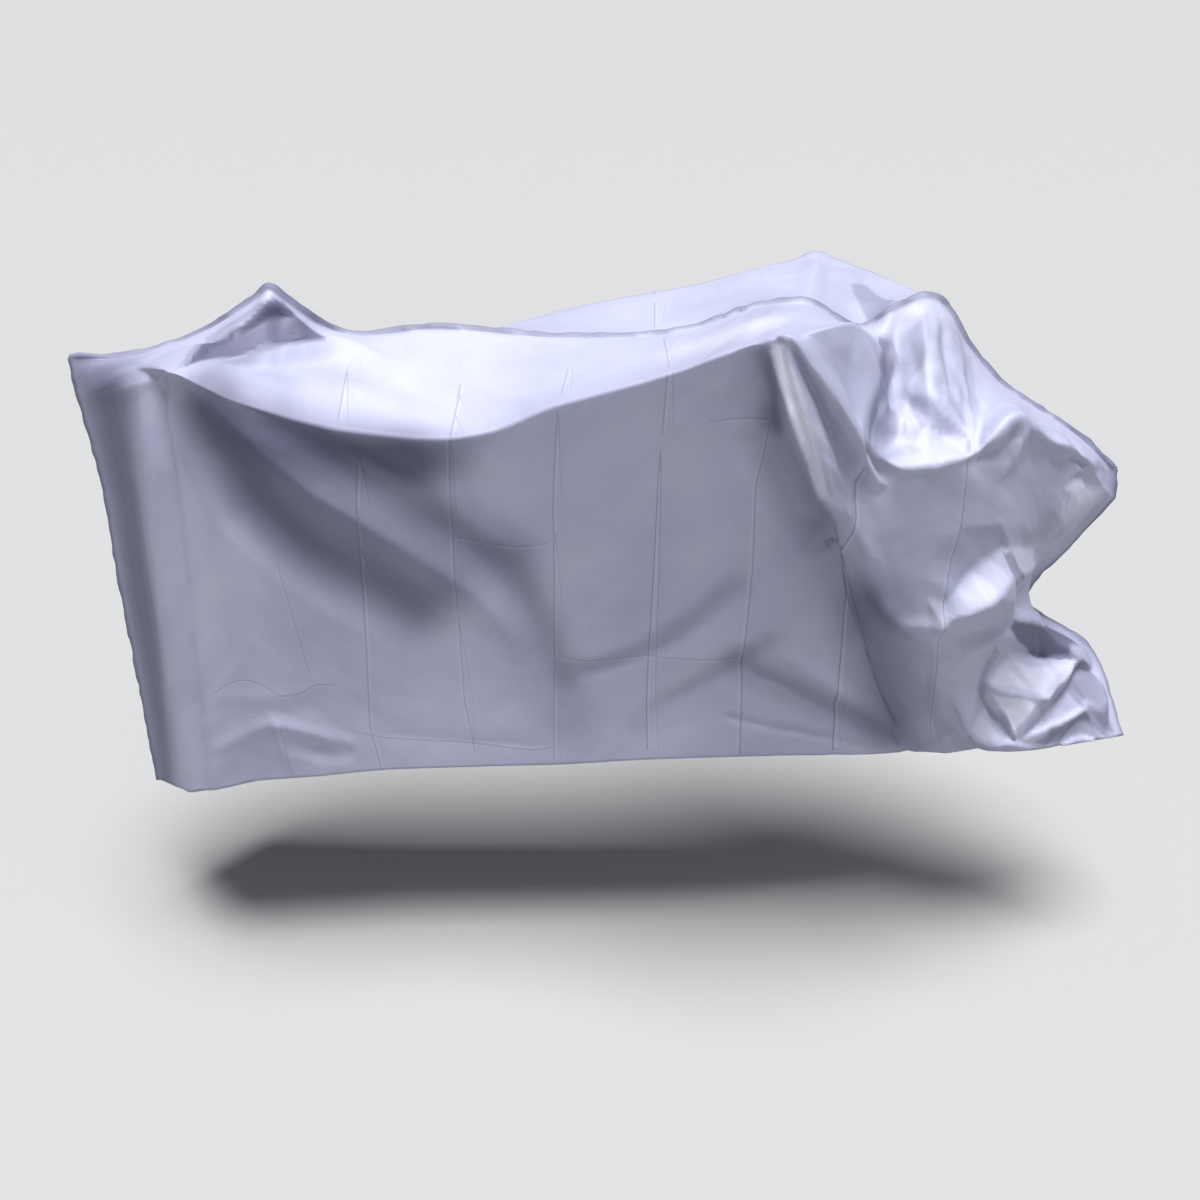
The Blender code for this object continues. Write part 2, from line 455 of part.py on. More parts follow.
def zone_height(surface, flat, zone):
    """How high a zone's facets lift each point: along each edge as the table says, and straight between."""
    corners = []
    heights = []
    edges = []
    for number, edge in enumerate(zone.edges):
        first = len(corners)
        for ahead, level, height in edge.line:
            corners.append(read_at(surface, flat, ahead * MM, level))
            heights.append(height * MM)
        last = len(corners) - 1
        edges += [(place, place + 1) for place in range(first, last)]
        if number == 0:
            edges.append((last, first))
    return facet_field(flat, corners, heights, edges)


def eased(surface):
    """The sheet with each inner point drawn a little towards its neighbours, as film bridges a sharp turn."""
    for _ in range(EASING_PASSES):
        around = surface[:-2, 1:-1] + surface[2:, 1:-1] + surface[1:-1, :-2] + surface[1:-1, 2:]
        surface[1:-1, 1:-1] += EASING * (around / 4 - surface[1:-1, 1:-1])
    return surface


def folded(surface, folds, zones, side):
    """The panel with its folds and facets laid over it, and its seam left where the other panel meets it."""
    lift = sum((fold_height(surface, fold) for fold in folds), np.zeros(surface.shape[:2]))
    flat = flat_places(surface)
    lift += sum((zone_height(surface, flat, zone) for zone in zones), 0)
    lift[0] = 0
    lift[:, [0, -1]] = 0
    return eased(surface + lift[..., None] * outward(surface, side))


def with_fin(surface, side):
    """Add the upturned seam allowance along tail, top and nose, set off from the other panel's."""
    rows, columns = surface.shape[:2]
    seam = np.concatenate([surface[::-1, 0], surface[0, 1:-1], surface[:, -1]])
    run = np.gradient(seam, axis=0)
    away = unit(np.stack([-run[:, 2], np.zeros(len(seam)), run[:, 0]], axis=1))
    across = unit(np.cross(away, run))
    root = seam + across * side * (FILM_THICKNESS + SEAM_GAP / 2)
    tip = root + away * FIN_HEIGHT

    ear = rows - 1
    brow = ear + columns - 1
    grid = np.empty((rows + 1, columns + 2, 3))
    grid[1:, 1:-1] = surface
    for line, outer in ((root, 1), (tip, 0)):
        grid[1:, outer] = line[ear::-1]
        grid[1:, -1 - outer] = line[brow:]
        grid[outer, 1:-1] = line[ear:brow + 1]
    grid[0, 0] = tip[ear]
    grid[0, -1] = tip[brow]
    corner_reach = FIN_HEIGHT / np.sqrt(2)
    grid[1, 0] = root[ear] - (corner_reach, 0, 0)
    grid[0, 1] = root[ear] + (0, 0, corner_reach)
    grid[1, -1] = root[brow] + (corner_reach, 0, 0)
    grid[0, -2] = root[brow] + (0, 0, corner_reach)
    return grid


def film_material(name):
    """Silver-grey film with a satin sheen."""
    material = bpy.data.materials.new(name)
    material.use_nodes = True
    shader = material.node_tree.nodes["Principled BSDF"]
    shader.inputs["Base Color"].default_value = FILM_COLOUR
    shader.inputs["Roughness"].default_value = FILM_ROUGHNESS
    shader.inputs["Metallic"].default_value = 0.0
    return material


def sheet_object(name, grid, side):
    """A sheet of film whose outer face is the grid of points."""
    rows, columns = grid.shape[:2]
    index = np.arange(rows * columns).reshape(rows, columns)
    corners = (index[:-1, :-1], index[1:, :-1], index[1:, 1:], index[:-1, 1:])
    quads = np.stack(corners, axis=-1).reshape(-1, 4)
    if side > 0:
        quads = quads[:, ::-1]
    mesh = bpy.data.meshes.new(name)
    mesh.from_pydata((grid.reshape(-1, 3) - HELD_AT).tolist(), [], quads.tolist())
    mesh.shade_smooth()
    mesh.materials.append(film_material(name))
    panel = bpy.data.objects.new(name, mesh)
    bpy.context.scene.collection.objects.link(panel)
    thicken = panel.modifiers.new("film thickness", "SOLIDIFY")
    thicken.thickness = FILM_THICKNESS
    thicken.offset = -1
    thicken.use_quality_normals = True
    return panel


def main():
    """Clear the scene and hang both panels."""
    for old in list(bpy.context.scene.objects):
        bpy.data.objects.remove(old)
    for name, ribs, folds, zones, side in (
        ("near_panel", NEAR_RIBS, NEAR_FOLDS, NEAR_ZONES, -1),
        ("far_panel", FAR_RIBS, FAR_FOLDS, (), 1),
    ):
        surface = folded(panel_surface(ribs), folds, zones, side)
        sheet_object(name, with_fin(surface, side), side)


main()
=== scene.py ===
"""The looks of a bicycle cover: two panels of thin silver-grey film, welded together, creased and draped.

Places in the tables are millimetres: ahead of the middle, away from the near side, and above the ground
that the cover hangs over. Everything else is in metres, in the frame's axes.
"""

import math
from collections import namedtuple

import bpy
import numpy as np
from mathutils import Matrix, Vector
from mathutils.bvhtree import BVHTree
from mathutils.geometry import delaunay_2d_cdt


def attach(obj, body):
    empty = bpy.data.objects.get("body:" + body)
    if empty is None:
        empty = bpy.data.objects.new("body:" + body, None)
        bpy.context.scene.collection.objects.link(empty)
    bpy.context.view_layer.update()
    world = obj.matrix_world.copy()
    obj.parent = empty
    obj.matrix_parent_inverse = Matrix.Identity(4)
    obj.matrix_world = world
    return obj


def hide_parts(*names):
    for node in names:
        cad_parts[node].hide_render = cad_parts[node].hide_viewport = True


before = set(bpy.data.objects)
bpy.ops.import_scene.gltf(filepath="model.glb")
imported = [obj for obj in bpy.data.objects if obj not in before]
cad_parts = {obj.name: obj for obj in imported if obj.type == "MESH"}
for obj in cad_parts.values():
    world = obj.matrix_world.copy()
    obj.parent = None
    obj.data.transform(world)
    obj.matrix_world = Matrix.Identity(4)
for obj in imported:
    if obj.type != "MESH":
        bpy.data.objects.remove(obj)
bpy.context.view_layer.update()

MM = 0.001

# Sizes of the film and of its welded seam
FILM_THICKNESS = 1.0 * MM
SEAM_GAP = 0.4 * MM
FIN_HEIGHT = 7 * MM
FIN_SWAY = 1.4 * MM
HELD_AT = (0.0, 0.0, 1.089)
GROUND = -HELD_AT[2]
NEAR = -1
FAR = 1

# How finely the film is divided: columns by how far ahead they are, rows by level
SPACING_AHEAD = (-910, -720, -660, -520, -460, 60, 160, 800)
SPACING = (9, 9, 4.6, 4.6, 13, 13, 3.95, 3.95)
ROOF_ROWS = 34
ROWS_PER_LEVEL = 28
LEVELS = 5
SEAM_SAMPLES = 4000

# How the sheet is evened out, and where it keeps its place: this many millimetres from the seam, and this
# many columns from either end
NORMAL_EVENINGS = 6
EASING_PASSES = 1
EASING = 0.15
HOLD_REACH = 20
END_COLUMNS = 4

# The least length, how close corners are one, and how high over the flat film its facets are looked for
SHORTEST = 1e-9
MERGE = 1e-6
RAY_START = 2.0

# Seeds of the film's random turns: each crumple size and panel has its own, counted from the first
CRUMPLE_SEED = 5
CRUMPLE_SEED_STEP = 10
FIN_SWAY_SEED = 3
FIN_FLUTTER_SEED = 4
FIN_RISE_SEED = 6
SEAM_SHADE_SEED = 8

# How far apart the fin's turns and the seam's stretches of painted shade are
FIN_SWAY_PITCH = 34 * MM
FIN_FLUTTER_PITCH = 14 * MM
FIN_RISE_PITCH = 17 * MM
SEAM_SHADE_PITCH = 17 * MM

Station = namedtuple("Station", "name seam")
SEAM = (
    Station("tail", (-910, 0, 1045)),
    Station("tail fold", (-845, 0, 1045)),
    Station("rear corner", (-710, 20, 1080)),
    Station("peak foot", (-612, 4, 1142)),
    Station("rear peak", (-590, 0, 1158)),
    Station("peak brow", (-568, 4, 1140)),
    Station("behind dip", (-485, 30, 1080)),
    Station("dip", (-350, 30, 1090)),
    Station("back", (-125, 0, 1085)),
    Station("neck", (65, 0, 1100)),
    Station("behind shoulder", (180, 0, 1140)),
    Station("shoulder", (240, 0, 1145)),
    Station("ahead of shoulder", (340, 0, 1105)),
    Station("valley", (380, 0, 1135)),
    Station("pocket", (450, 20, 1150)),
    Station("pocket end", (515, 20, 1075)),
    Station("bulge", (585, 20, 1005)),
    Station("bulge lip", (645, 10, 970)),
    Station("brow", (720, 0, 925)),
    Station("nose", (785, 0, 870)),
)

# One rib of a panel: the brink where the roof turns, or none where it runs straight, then the places that
# the rib passes on its way down
STRAIGHT = None
Rib = namedtuple("Rib", "name brink rim chest waist shin hem")
TAIL = Rib("tail", STRAIGHT, (-905, 0, 975), (-890, 0, 835), (-890, 0, 675), (-885, 0, 480), (-880, 0, 245))
NOSE = Rib("nose", STRAIGHT, (792, 0, 820), (740, 0, 740), (675, 0, 625), (800, -20, 535), (850, -100, 405))

NEAR_RIBS = (
    TAIL,
    Rib("tail fold", STRAIGHT, (-765, -100, 1035), (-770, -120, 905), (-780, -125, 700), (-780, -130, 505),
        (-785, -135, 315)),
    Rib("rear corner", (-700, -185, 1084), (-700, -200, 1085), (-680, -190, 930), (-665, -180, 725),
        (-655, -170, 520), (-650, -165, 355)),
    Rib("rear peak", (-596, -75, 1077), (-605, -200, 1040), (-575, -185, 905), (-555, -170, 720),
        (-540, -160, 515), (-530, -160, 365)),
    Rib("behind dip", (-483, 5, 1077), (-470, -190, 995), (-460, -170, 865), (-440, -155, 695),
        (-425, -150, 510), (-415, -150, 370)),
    Rib("dip", STRAIGHT, (-305, -180, 980), (-305, -160, 850), (-295, -150, 685), (-280, -145, 505),
        (-275, -150, 375)),
    Rib("back", STRAIGHT, (-140, -200, 1040), (-140, -185, 900), (-130, -165, 720), (-125, -150, 530),
        (-120, -150, 380)),
    Rib("neck", STRAIGHT, (15, -240, 1100), (20, -215, 945), (25, -185, 750), (30, -155, 540),
        (40, -150, 390)),
    Rib("behind shoulder", STRAIGHT, (125, -270, 1150), (145, -240, 1000), (180, -195, 770),
        (220, -155, 550), (240, -140, 390)),
    Rib("shoulder", (182, -262, 1163), (170, -285, 1165), (220, -270, 965), (290, -215, 750),
        (360, -150, 530), (400, -120, 380)),
    Rib("ahead of shoulder", (322, -125, 1121), (300, -240, 1004), (310, -232, 880), (350, -197, 712),
        (425, -135, 510), (485, -90, 365)),
    Rib("valley", (366, -120, 1015), (350, -225, 960), (375, -215, 838), (410, -200, 693), (475, -130, 505),
        (520, -90, 365)),
    Rib("pocket", STRAIGHT, (410, -215, 950), (440, -205, 830), (470, -200, 680), (520, -140, 515),
        (550, -100, 370)),
    Rib("pocket end", STRAIGHT, (480, -200, 970), (520, -185, 840), (545, -185, 700), (575, -150, 530),
        (595, -130, 400)),
    Rib("bulge", STRAIGHT, (555, -150, 1010), (570, -155, 875), (598, -165, 700), (630, -120, 530),
        (635, -150, 405)),
    Rib("bulge lip", STRAIGHT, (610, -130, 965), (625, -120, 845), (648, -90, 672), (700, -90, 535),
        (700, -140, 405)),
    Rib("brow", STRAIGHT, (695, -80, 920), (710, -60, 800), (655, -20, 640), (765, -50, 530),
        (780, -120, 405)),
    NOSE,
)

FAR_RIBS = (
    TAIL,
    Rib("tail fold", STRAIGHT, (-775, 90, 1030), (-775, 110, 900), (-775, 120, 700), (-780, 130, 505),
        (-785, 130, 335)),
    Rib("rear corner", STRAIGHT, (-710, 165, 1032), (-690, 180, 910), (-670, 178, 725), (-660, 170, 520),
        (-650, 160, 365)),
    Rib("rear peak", STRAIGHT, (-600, 200, 1030), (-580, 190, 905), (-560, 175, 720), (-545, 160, 515),
        (-535, 155, 365)),
    Rib("behind dip", STRAIGHT, (-480, 190, 1000), (-465, 170, 865), (-445, 155, 695), (-430, 150, 510),
        (-420, 150, 370)),
    Rib("dip", STRAIGHT, (-330, 185, 1030), (-320, 170, 880), (-310, 155, 690), (-300, 150, 505),
        (-295, 150, 370)),
    Rib("back", STRAIGHT, (-110, 200, 1085), (-115, 185, 920), (-120, 165, 720), (-120, 155, 530),
        (-120, 150, 370)),
    Rib("neck", STRAIGHT, (90, 220, 1120), (80, 210, 950), (70, 185, 750), (60, 160, 540), (55, 150, 370)),
    Rib("behind shoulder", STRAIGHT, (220, 255, 1145), (210, 240, 980), (200, 200, 760), (190, 160, 550),
        (185, 140, 370)),
    Rib("shoulder", STRAIGHT, (305, 280, 1157), (300, 265, 970), (290, 215, 750), (280, 160, 530),
        (275, 130, 370)),
    Rib("ahead of shoulder", STRAIGHT, (400, 250, 1138), (390, 240, 950), (380, 190, 700), (370, 140, 510),
        (365, 110, 370)),
    Rib("pocket", STRAIGHT, (480, 160, 1115), (490, 190, 930), (480, 170, 700), (470, 120, 520),
        (465, 90, 370)),
    Rib("bulge", STRAIGHT, (590, 150, 1005), (595, 150, 870), (590, 110, 700), (600, 60, 530),
        (600, 50, 375)),
    Rib("brow", STRAIGHT, (700, 80, 920), (710, 60, 800), (660, 25, 640), (750, 20, 530), (770, -30, 390)),
    NOSE,
)

# One fold of a panel: how far its flank reaches to each side in millimetres, how sharp its crest is from
# 0 to 1, and its line, as places (millimetres ahead of the middle, level, height in millimetres).
# The levels are 0 at the seam, 1 rim, 2 chest, 3 waist, 4 shin and 5 at the hem.
Fold = namedtuple("Fold", "name reach sharp line")
NEAR_FOLDS = (
    # the tail
    Fold("tail crease", 34, 1.0, ((-770, 1.0, 8), (-770, 2.0, 12), (-775, 3.0, 12), (-780, 4.0, 12),
        (-780, 4.95, 10))),
    Fold("beside tail crease", 26, 0.2, ((-740, 1.15, -10), (-730, 2.05, -9), (-735, 2.95, -8),
        (-745, 3.95, -8), (-750, 4.95, -6))),
    Fold("tail hollow", 60, 0.1, ((-840, 1.1, -6), (-840, 2.25, -12), (-835, 3.4, -12),
        (-855, 4.6, -8))),
    # the swags across the rear
    Fold("first swag hollow", 60, 0.2, ((-685, 1.2, -4), (-640, 1.8, -20), (-610, 2.3, -26),
        (-545, 2.65, -22), (-480, 2.9, -14), (-400, 3.2, 0))),
    Fold("first swag", 48, 0.5, ((-675, 1.1, 0), (-600, 1.45, 12), (-515, 1.9, 18), (-400, 2.3, 22),
        (-285, 2.8, 16), (-200, 3.45, 4))),
    Fold("second swag hollow", 45, 0.2, ((-645, 1.05, -2), (-520, 1.1, -10), (-410, 1.6, -18),
        (-335, 2.1, -16), (-235, 2.7, -6), (-175, 3.25, 0))),
    Fold("dip hollow", 50, 0.2, ((-610, 0.7, -4), (-490, 0.6, -6), (-355, 0.65, -6), (-230, 0.75, 0))),
    Fold("dip crest", 14, 0.7, ((-480, 1.05, 3), (-420, 1.0, 5), (-355, 1.05, 5), (-310, 1.05, 4),
        (-245, 1.0, 4))),
    Fold("back hollow", 48, 0.2, ((-225, 2.5, 0), (-205, 3.0, -10), (-170, 3.55, -12), (-145, 4.0, -8),
        (-130, 4.4, 0))),
    Fold("slanting hollow", 26, 0.1, ((-130, 3.85, 0), (-75, 3.8, -5), (5, 3.65, -8), (80, 3.45, -8),
        (135, 3.15, -6), (155, 2.85, 0))),
    Fold("lower slanting hollow", 24, 0.1, ((-5, 4.45, 0), (75, 4.1, -6), (145, 3.85, -7),
        (195, 3.65, -9), (230, 3.4, 0))),
    # along the rear hem
    Fold("hem crest", 22, 0.7, ((-705, 4.5, 2), (-615, 4.25, 6), (-570, 4.35, 7), (-500, 4.55, 3))),
    Fold("hem crest drop", 14, 0.6, ((-610, 4.3, 4), (-605, 4.6, 4), (-595, 4.95, 0))),
    Fold("hem dent", 26, 0.2, ((-585, 4.55, -3), (-550, 4.65, -8), (-505, 4.75, -3))),
    # from the shoulder down
    Fold("shoulder great hollow", 62, 0.1, ((150, 1.55, -2), (175, 1.9, -8), (205, 2.2, -12),
        (245, 2.5, -14), (275, 2.75, -14), (318, 2.95, -14), (405, 3.6, -14), (500, 4.75, -4))),
    Fold("below tip", 28, 0.5, ((262, 2.15, 3), (290, 2.1, 7), (320, 2.3, 8), (350, 2.7, 8),
        (375, 2.95, 8))),
    Fold("upper low fold", 18, 0.8, ((150, 3.8, -2), (190, 3.95, -8), (245, 4.05, -9), (355, 4.35, -8),
        (490, 4.9, -3))),
    Fold("lower low fold", 15, 0.8, ((150, 4.45, -6), (220, 4.6, -6), (305, 4.7, -6), (480, 5.0, -3))),
    Fold("above low fold", 30, 0.3, ((240, 3.75, 4), (330, 4.05, 8), (430, 4.4, 5))),
    Fold("pocket crease", 11, 0.9, ((305, 1.1, -6), (305, 1.35, -7), (300, 1.8, -6), (295, 2.15, -2))),
    Fold("bulge ledge", 26, 0.8, ((365, 2.95, 6), (405, 3.1, 12), (465, 3.0, 12))),
    Fold("under ledge", 36, 0.2, ((385, 3.3, -6), (440, 3.4, -12), (490, 3.3, -8))),
)

# One edge of the film's flat facets: its line, as places (millimetres ahead of the middle, level, height in
# millimetres). A zone's facets span its edges; its first edge is the frame round them, where they end.
Edge = namedtuple("Edge", "name line")
Zone = namedtuple("Zone", "name edges")
NEAR_ZONES = (
    Zone("rear", (
        Edge("rear frame", ((-910, 0.05, 0), (-900, 1, 0), (-870, 1.1, 0), (-785, 1.2, 0), (-760, 1.15, 0),
            (-700, 1, 0), (-605, 0.95, 0), (-525, 0.95, 0), (-460, 0.95, 0), (-385, 0.75, 0),
            (-345, 0.15, 0), (-395, 0.05, 0))),
        Edge("peak strip edge", ((-590, 0.15, 8), (-625, 0.25, 10), (-660, 0.35, 9), (-680, 0.5, 4),
            (-695, 0.95, 0))),
        Edge("peak facet floor", ((-570, 0.15, -2), (-595, 0.25, -5), (-640, 0.3, -6), (-665, 0.4, -3))),
        Edge("bright ridge", ((-685, 0.85, 1), (-645, 0.5, 6), (-595, 0.45, 9), (-545, 0.45, 8),
            (-480, 0.4, 3))),
        Edge("peak small fold", ((-570, 0.35, 3), (-550, 0.1, 7))),
        Edge("grey strip floor", ((-595, 0.62, -3), (-515, 0.62, -5), (-425, 0.5, -3))),
        Edge("roof bulge", ((-600, 0.75, 5), (-505, 0.8, 7), (-415, 0.7, 4))),
        Edge("tail ear edge", ((-870, 0.85, 9), (-835, 0.7, 8), (-780, 0.45, 5))),
        Edge("tail ear floor", ((-865, 0.1, -2), (-830, 0.1, -2))),
    )),
    Zone("shoulder", (
        Edge("shoulder frame", ((40, 1.05, 0), (100, 1, 0), (150, 0.95, 0), (230, 0.3, 0), (300, 0.5, 0),
            (355, 0.05, 0), (370, 0.15, 0), (385, 0.35, 0), (385, 0.6, 0), (385, 0.9, 0), (365, 1.05, 0),
            (385, 1.75, 0), (360, 2.3, 0), (310, 2.65, 0), (230, 2.85, 0), (150, 2.45, 0), (85, 1.85, 0))),
        Edge("shoulder notch", ((125, 1.05, -4), (135, 1.35, -13), (150, 1.65, -12), (160, 1.9, -5))),
        Edge("shoulder rear ridge", ((145, 1.05, 5), (170, 1.4, 15), (190, 1.6, 20), (215, 1.85, 21),
            (240, 2.15, 13))),
        Edge("between ridges", ((160, 1.05, 0), (180, 1.4, 8), (200, 1.65, 12), (220, 1.9, 13),
            (240, 2.1, 9))),
        Edge("shoulder middle ridge", ((165, 1.05, 5), (190, 1.35, 14), (210, 1.6, 18), (225, 1.8, 18),
            (250, 2.05, 11))),
        Edge("dark flank foot", ((185, 1.1, -3), (215, 1.25, -6), (240, 1.35, -7), (260, 1.5, -5),
            (275, 1.75, -1))),
        Edge("shoulder front ridge", ((170, 1, 5), (195, 1.1, 12), (225, 1.15, 17), (260, 1.1, 20),
            (290, 1.1, 18))),
        Edge("shoulder tip", ((245, 2.2, 12), (260, 2.15, 11), (290, 1.9, 5))),
        Edge("great hollow floor", ((160, 2.1, -10), (193, 2.35, -18), (222, 2.58, -20), (262, 2.68, -12))),
        Edge("pocket crest", ((320, 0.5, 4), (315, 0.6, 8), (305, 0.8, 8), (295, 0.95, 6))),
        Edge("crumpled edge", ((280, 0.6, 2), (275, 0.75, -5), (275, 0.85, -4), (285, 0.95, 0))),
        Edge("front flat", ((230, 0.75, -3), (255, 0.85, -4))),
        Edge("dark wedge", ((315, 1.1, -8), (335, 1.2, -10), (350, 1.3, -3))),
    )),
    Zone("pocket", (
        Edge("pocket frame", ((350, 0.2, 0), (340, 0.55, 0), (320, 0.85, 0), (302, 0.92, 0), (298, 1.02, 0),
            (340, 1.1, 0), (365, 1.12, 0), (420, 1.1, 0), (490, 1.1, 0), (500, 0.95, 0), (508, 0.55, 0),
            (515, 0.1, 0), (490, 0, 0), (450, 0.02, 0), (415, 0, 0), (385, 0.05, 0))),
        Edge("pocket wall foot", ((380, 0.15, -5), (385, 0.2, -9), (375, 0.35, -11), (360, 0.5, -11),
            (320, 0.9, -4))),
        Edge("curled lip", ((345, 0.65, 2), (375, 0.55, 7), (390, 0.7, 6), (380, 0.75, 2))),
        Edge("under lip", ((355, 0.75, -6), (370, 0.75, -4))),
        Edge("lower bright top", ((315, 0.93, -1), (365, 0.82, -2), (395, 0.82, -5), (440, 0.88, -6),
            (468, 0.95, -2))),
        Edge("pocket rim", ((305, 1.05, 5), (340, 1, 6), (360, 1, 7), (415, 1, 8), (475, 1, 6))),
        Edge("grey upright", ((380, 0.8, -4), (385, 0.9, -1))),
        Edge("cross ridge", ((390, 0.4, 1), (422, 0.58, 6), (455, 0.7, 8), (478, 0.84, 6))),
        Edge("cross floor", ((385, 0.45, -4), (415, 0.7, -7), (445, 0.8, -6))),
        Edge("light upright", ((425, 0.1, 4), (425, 0.3, 8), (420, 0.5, 6))),
        Edge("grey hollow", ((455, 0.15, -2), (460, 0.3, -6), (455, 0.55, -3))),
        Edge("right bright edge", ((485, 0.1, 3), (485, 0.3, 8), (485, 0.55, 9), (485, 0.8, 6))),
        Edge("wall hollow", ((400, 0.15, -3), (405, 0.3, -2))),
    )),
    Zone("shelf", (
        Edge("shelf frame", ((435, 2.7, 0), (430, 2.25, 0), (475, 1.9, 0), (545, 2.1, 0), (675, 2.25, 0),
            (715, 2.25, 0), (672, 2.7, 0), (662, 3, 0), (645, 3.15, 0), (600, 3.38, 0), (510, 3.38, 0),
            (460, 3.2, 0))),
        Edge("shelf top line", ((470, 2.75, -6), (510, 2.5, -14), (535, 2.4, -18), (560, 2.4, -16))),
        Edge("shelf spike", ((560, 2.45, -10), (565, 2.6, 0), (570, 2.7, 10))),
        Edge("shelf crest", ((465, 2.95, 10), (495, 2.85, 26), (525, 2.8, 34), (555, 2.8, 24))),
        Edge("shelf fold line", ((475, 3.05, 6), (505, 2.95, 18), (535, 2.95, 24))),
        Edge("under shelf", ((495, 3.2, -4), (540, 3.3, -9), (585, 3.3, -12), (610, 3.05, -10),
            (615, 2.9, -6))),
        Edge("right light top", ((575, 2.45, -8), (670, 2.4, -4))),
        Edge("right light foot", ((590, 2.75, 4), (675, 2.55, 4))),
    )),
    Zone("low front", (
        Edge("low frame", ((455, 3.2, 0), (500, 3.42, 0), (560, 3.45, 0), (600, 3.25, 0), (625, 3.08, 0),
            (705, 3.15, 0), (785, 3.7, 0), (822, 4.2, 0), (838, 4.6, 0), (845, 5, 0), (695, 5, 0),
            (590, 5, 0), (530, 4.85, 0), (485, 4.05, 0))),
        Edge("left ridge", ((495, 3.7, 8), (525, 4, 16), (565, 4.55, 18))),
        Edge("left hollow", ((530, 3.5, -6), (555, 4, -6), (575, 4.35, -2))),
        Edge("neck valley", ((585, 3.45, -8), (595, 3.7, -11), (570, 3.95, -11), (575, 4.2, -9),
            (615, 4.5, -7), (635, 4.8, -2))),
        Edge("neck right", ((600, 3.45, -6), (615, 3.65, -6))),
        Edge("facet edge", ((580, 3.95, 6), (620, 4.1, 16), (675, 4.3, 24))),
        Edge("facet left", ((585, 4, 4), (615, 4.35, 10), (640, 4.75, 12))),
        Edge("lens top", ((612, 3.2, 4), (655, 3.28, 10), (735, 3.62, 12), (780, 3.9, 8))),
        Edge("lens foot", ((632, 3.62, -12), (675, 3.78, -18), (715, 3.84, -22), (748, 3.94, -12))),
        Edge("lens bright top", ((635, 3.5, -6), (665, 3.7, -12))),
        Edge("facet middle", ((690, 3.95, -2), (665, 3.85, -4))),
        Edge("strip left", ((684, 4.2, 16), (706, 4.05, 8), (760, 3.98, -2))),
        Edge("strip crest", ((690, 4.33, 26), (716, 4.2, 20), (772, 4.05, 10))),
        Edge("long valley", ((650, 4.85, 2), (710, 4.55, -8), (755, 4.3, -10), (805, 4.1, -4))),
        Edge("low facet edge", ((575, 4.7, 18), (615, 4.9, 14))),
        Edge("low facet fold", ((585, 4.3, -4), (605, 4.65, 2))),
        Edge("front ridge", ((665, 4.8, 6), (705, 4.7, 18), (765, 4.6, 22), (825, 4.6, 10))),
        Edge("front facet top", ((750, 4.4, -2), (780, 4.55, 6))),
        Edge("front hem", ((718, 4.94, -6), (785, 4.94, -10), (832, 4.9, -8))),
    )),
    Zone("bulge", (
        Edge("bulge frame", ((485, 1.15, 0), (505, 0.65, 0), (540, 0.2, 0), (580, 0.3, 0), (650, 0.2, 0),
            (725, 0.15, 0), (775, 0.25, 0), (775, 1.15, 0), (740, 1.85, 0), (645, 2.35, 0), (545, 2.15, 0),
            (490, 1.6, 0))),
        Edge("bulge rim", ((496, 1, 8), (512, 1.05, 9), (532, 1.05, 8), (552, 0.98, 5))),
        Edge("under rim", ((500, 1.1, -4), (535, 1.3, -5), (550, 1.2, -4))),
        Edge("sliver", ((555, 1.05, 6), (560, 1.25, 9), (550, 1.55, 5))),
        Edge("right of sliver", ((580, 1.15, -3), (580, 1.45, -4), (570, 1.65, -2))),
        Edge("brow rim", ((570, 1.1, 6), (600, 1, 8), (645, 1, 7), (690, 1, 4))),
        Edge("under brow", ((605, 1.1, -6), (660, 1.15, -8), (705, 1.1, -6))),
        Edge("nose light", ((705, 1.2, 3), (716, 0.95, 7), (748, 0.28, 4))),
        Edge("under nose light", ((720, 1.2, -2), (755, 0.55, -2))),
        Edge("level line", ((535, 1.65, -1), (600, 1.75, -4), (665, 1.6, -4), (775, 0.8, -2))),
        Edge("lower face", ((670, 1.65, 2), (680, 2.05, 4), (735, 1.45, 5))),
        Edge("front light", ((505, 0.8, 3), (545, 0.6, 2))),
    )),
)
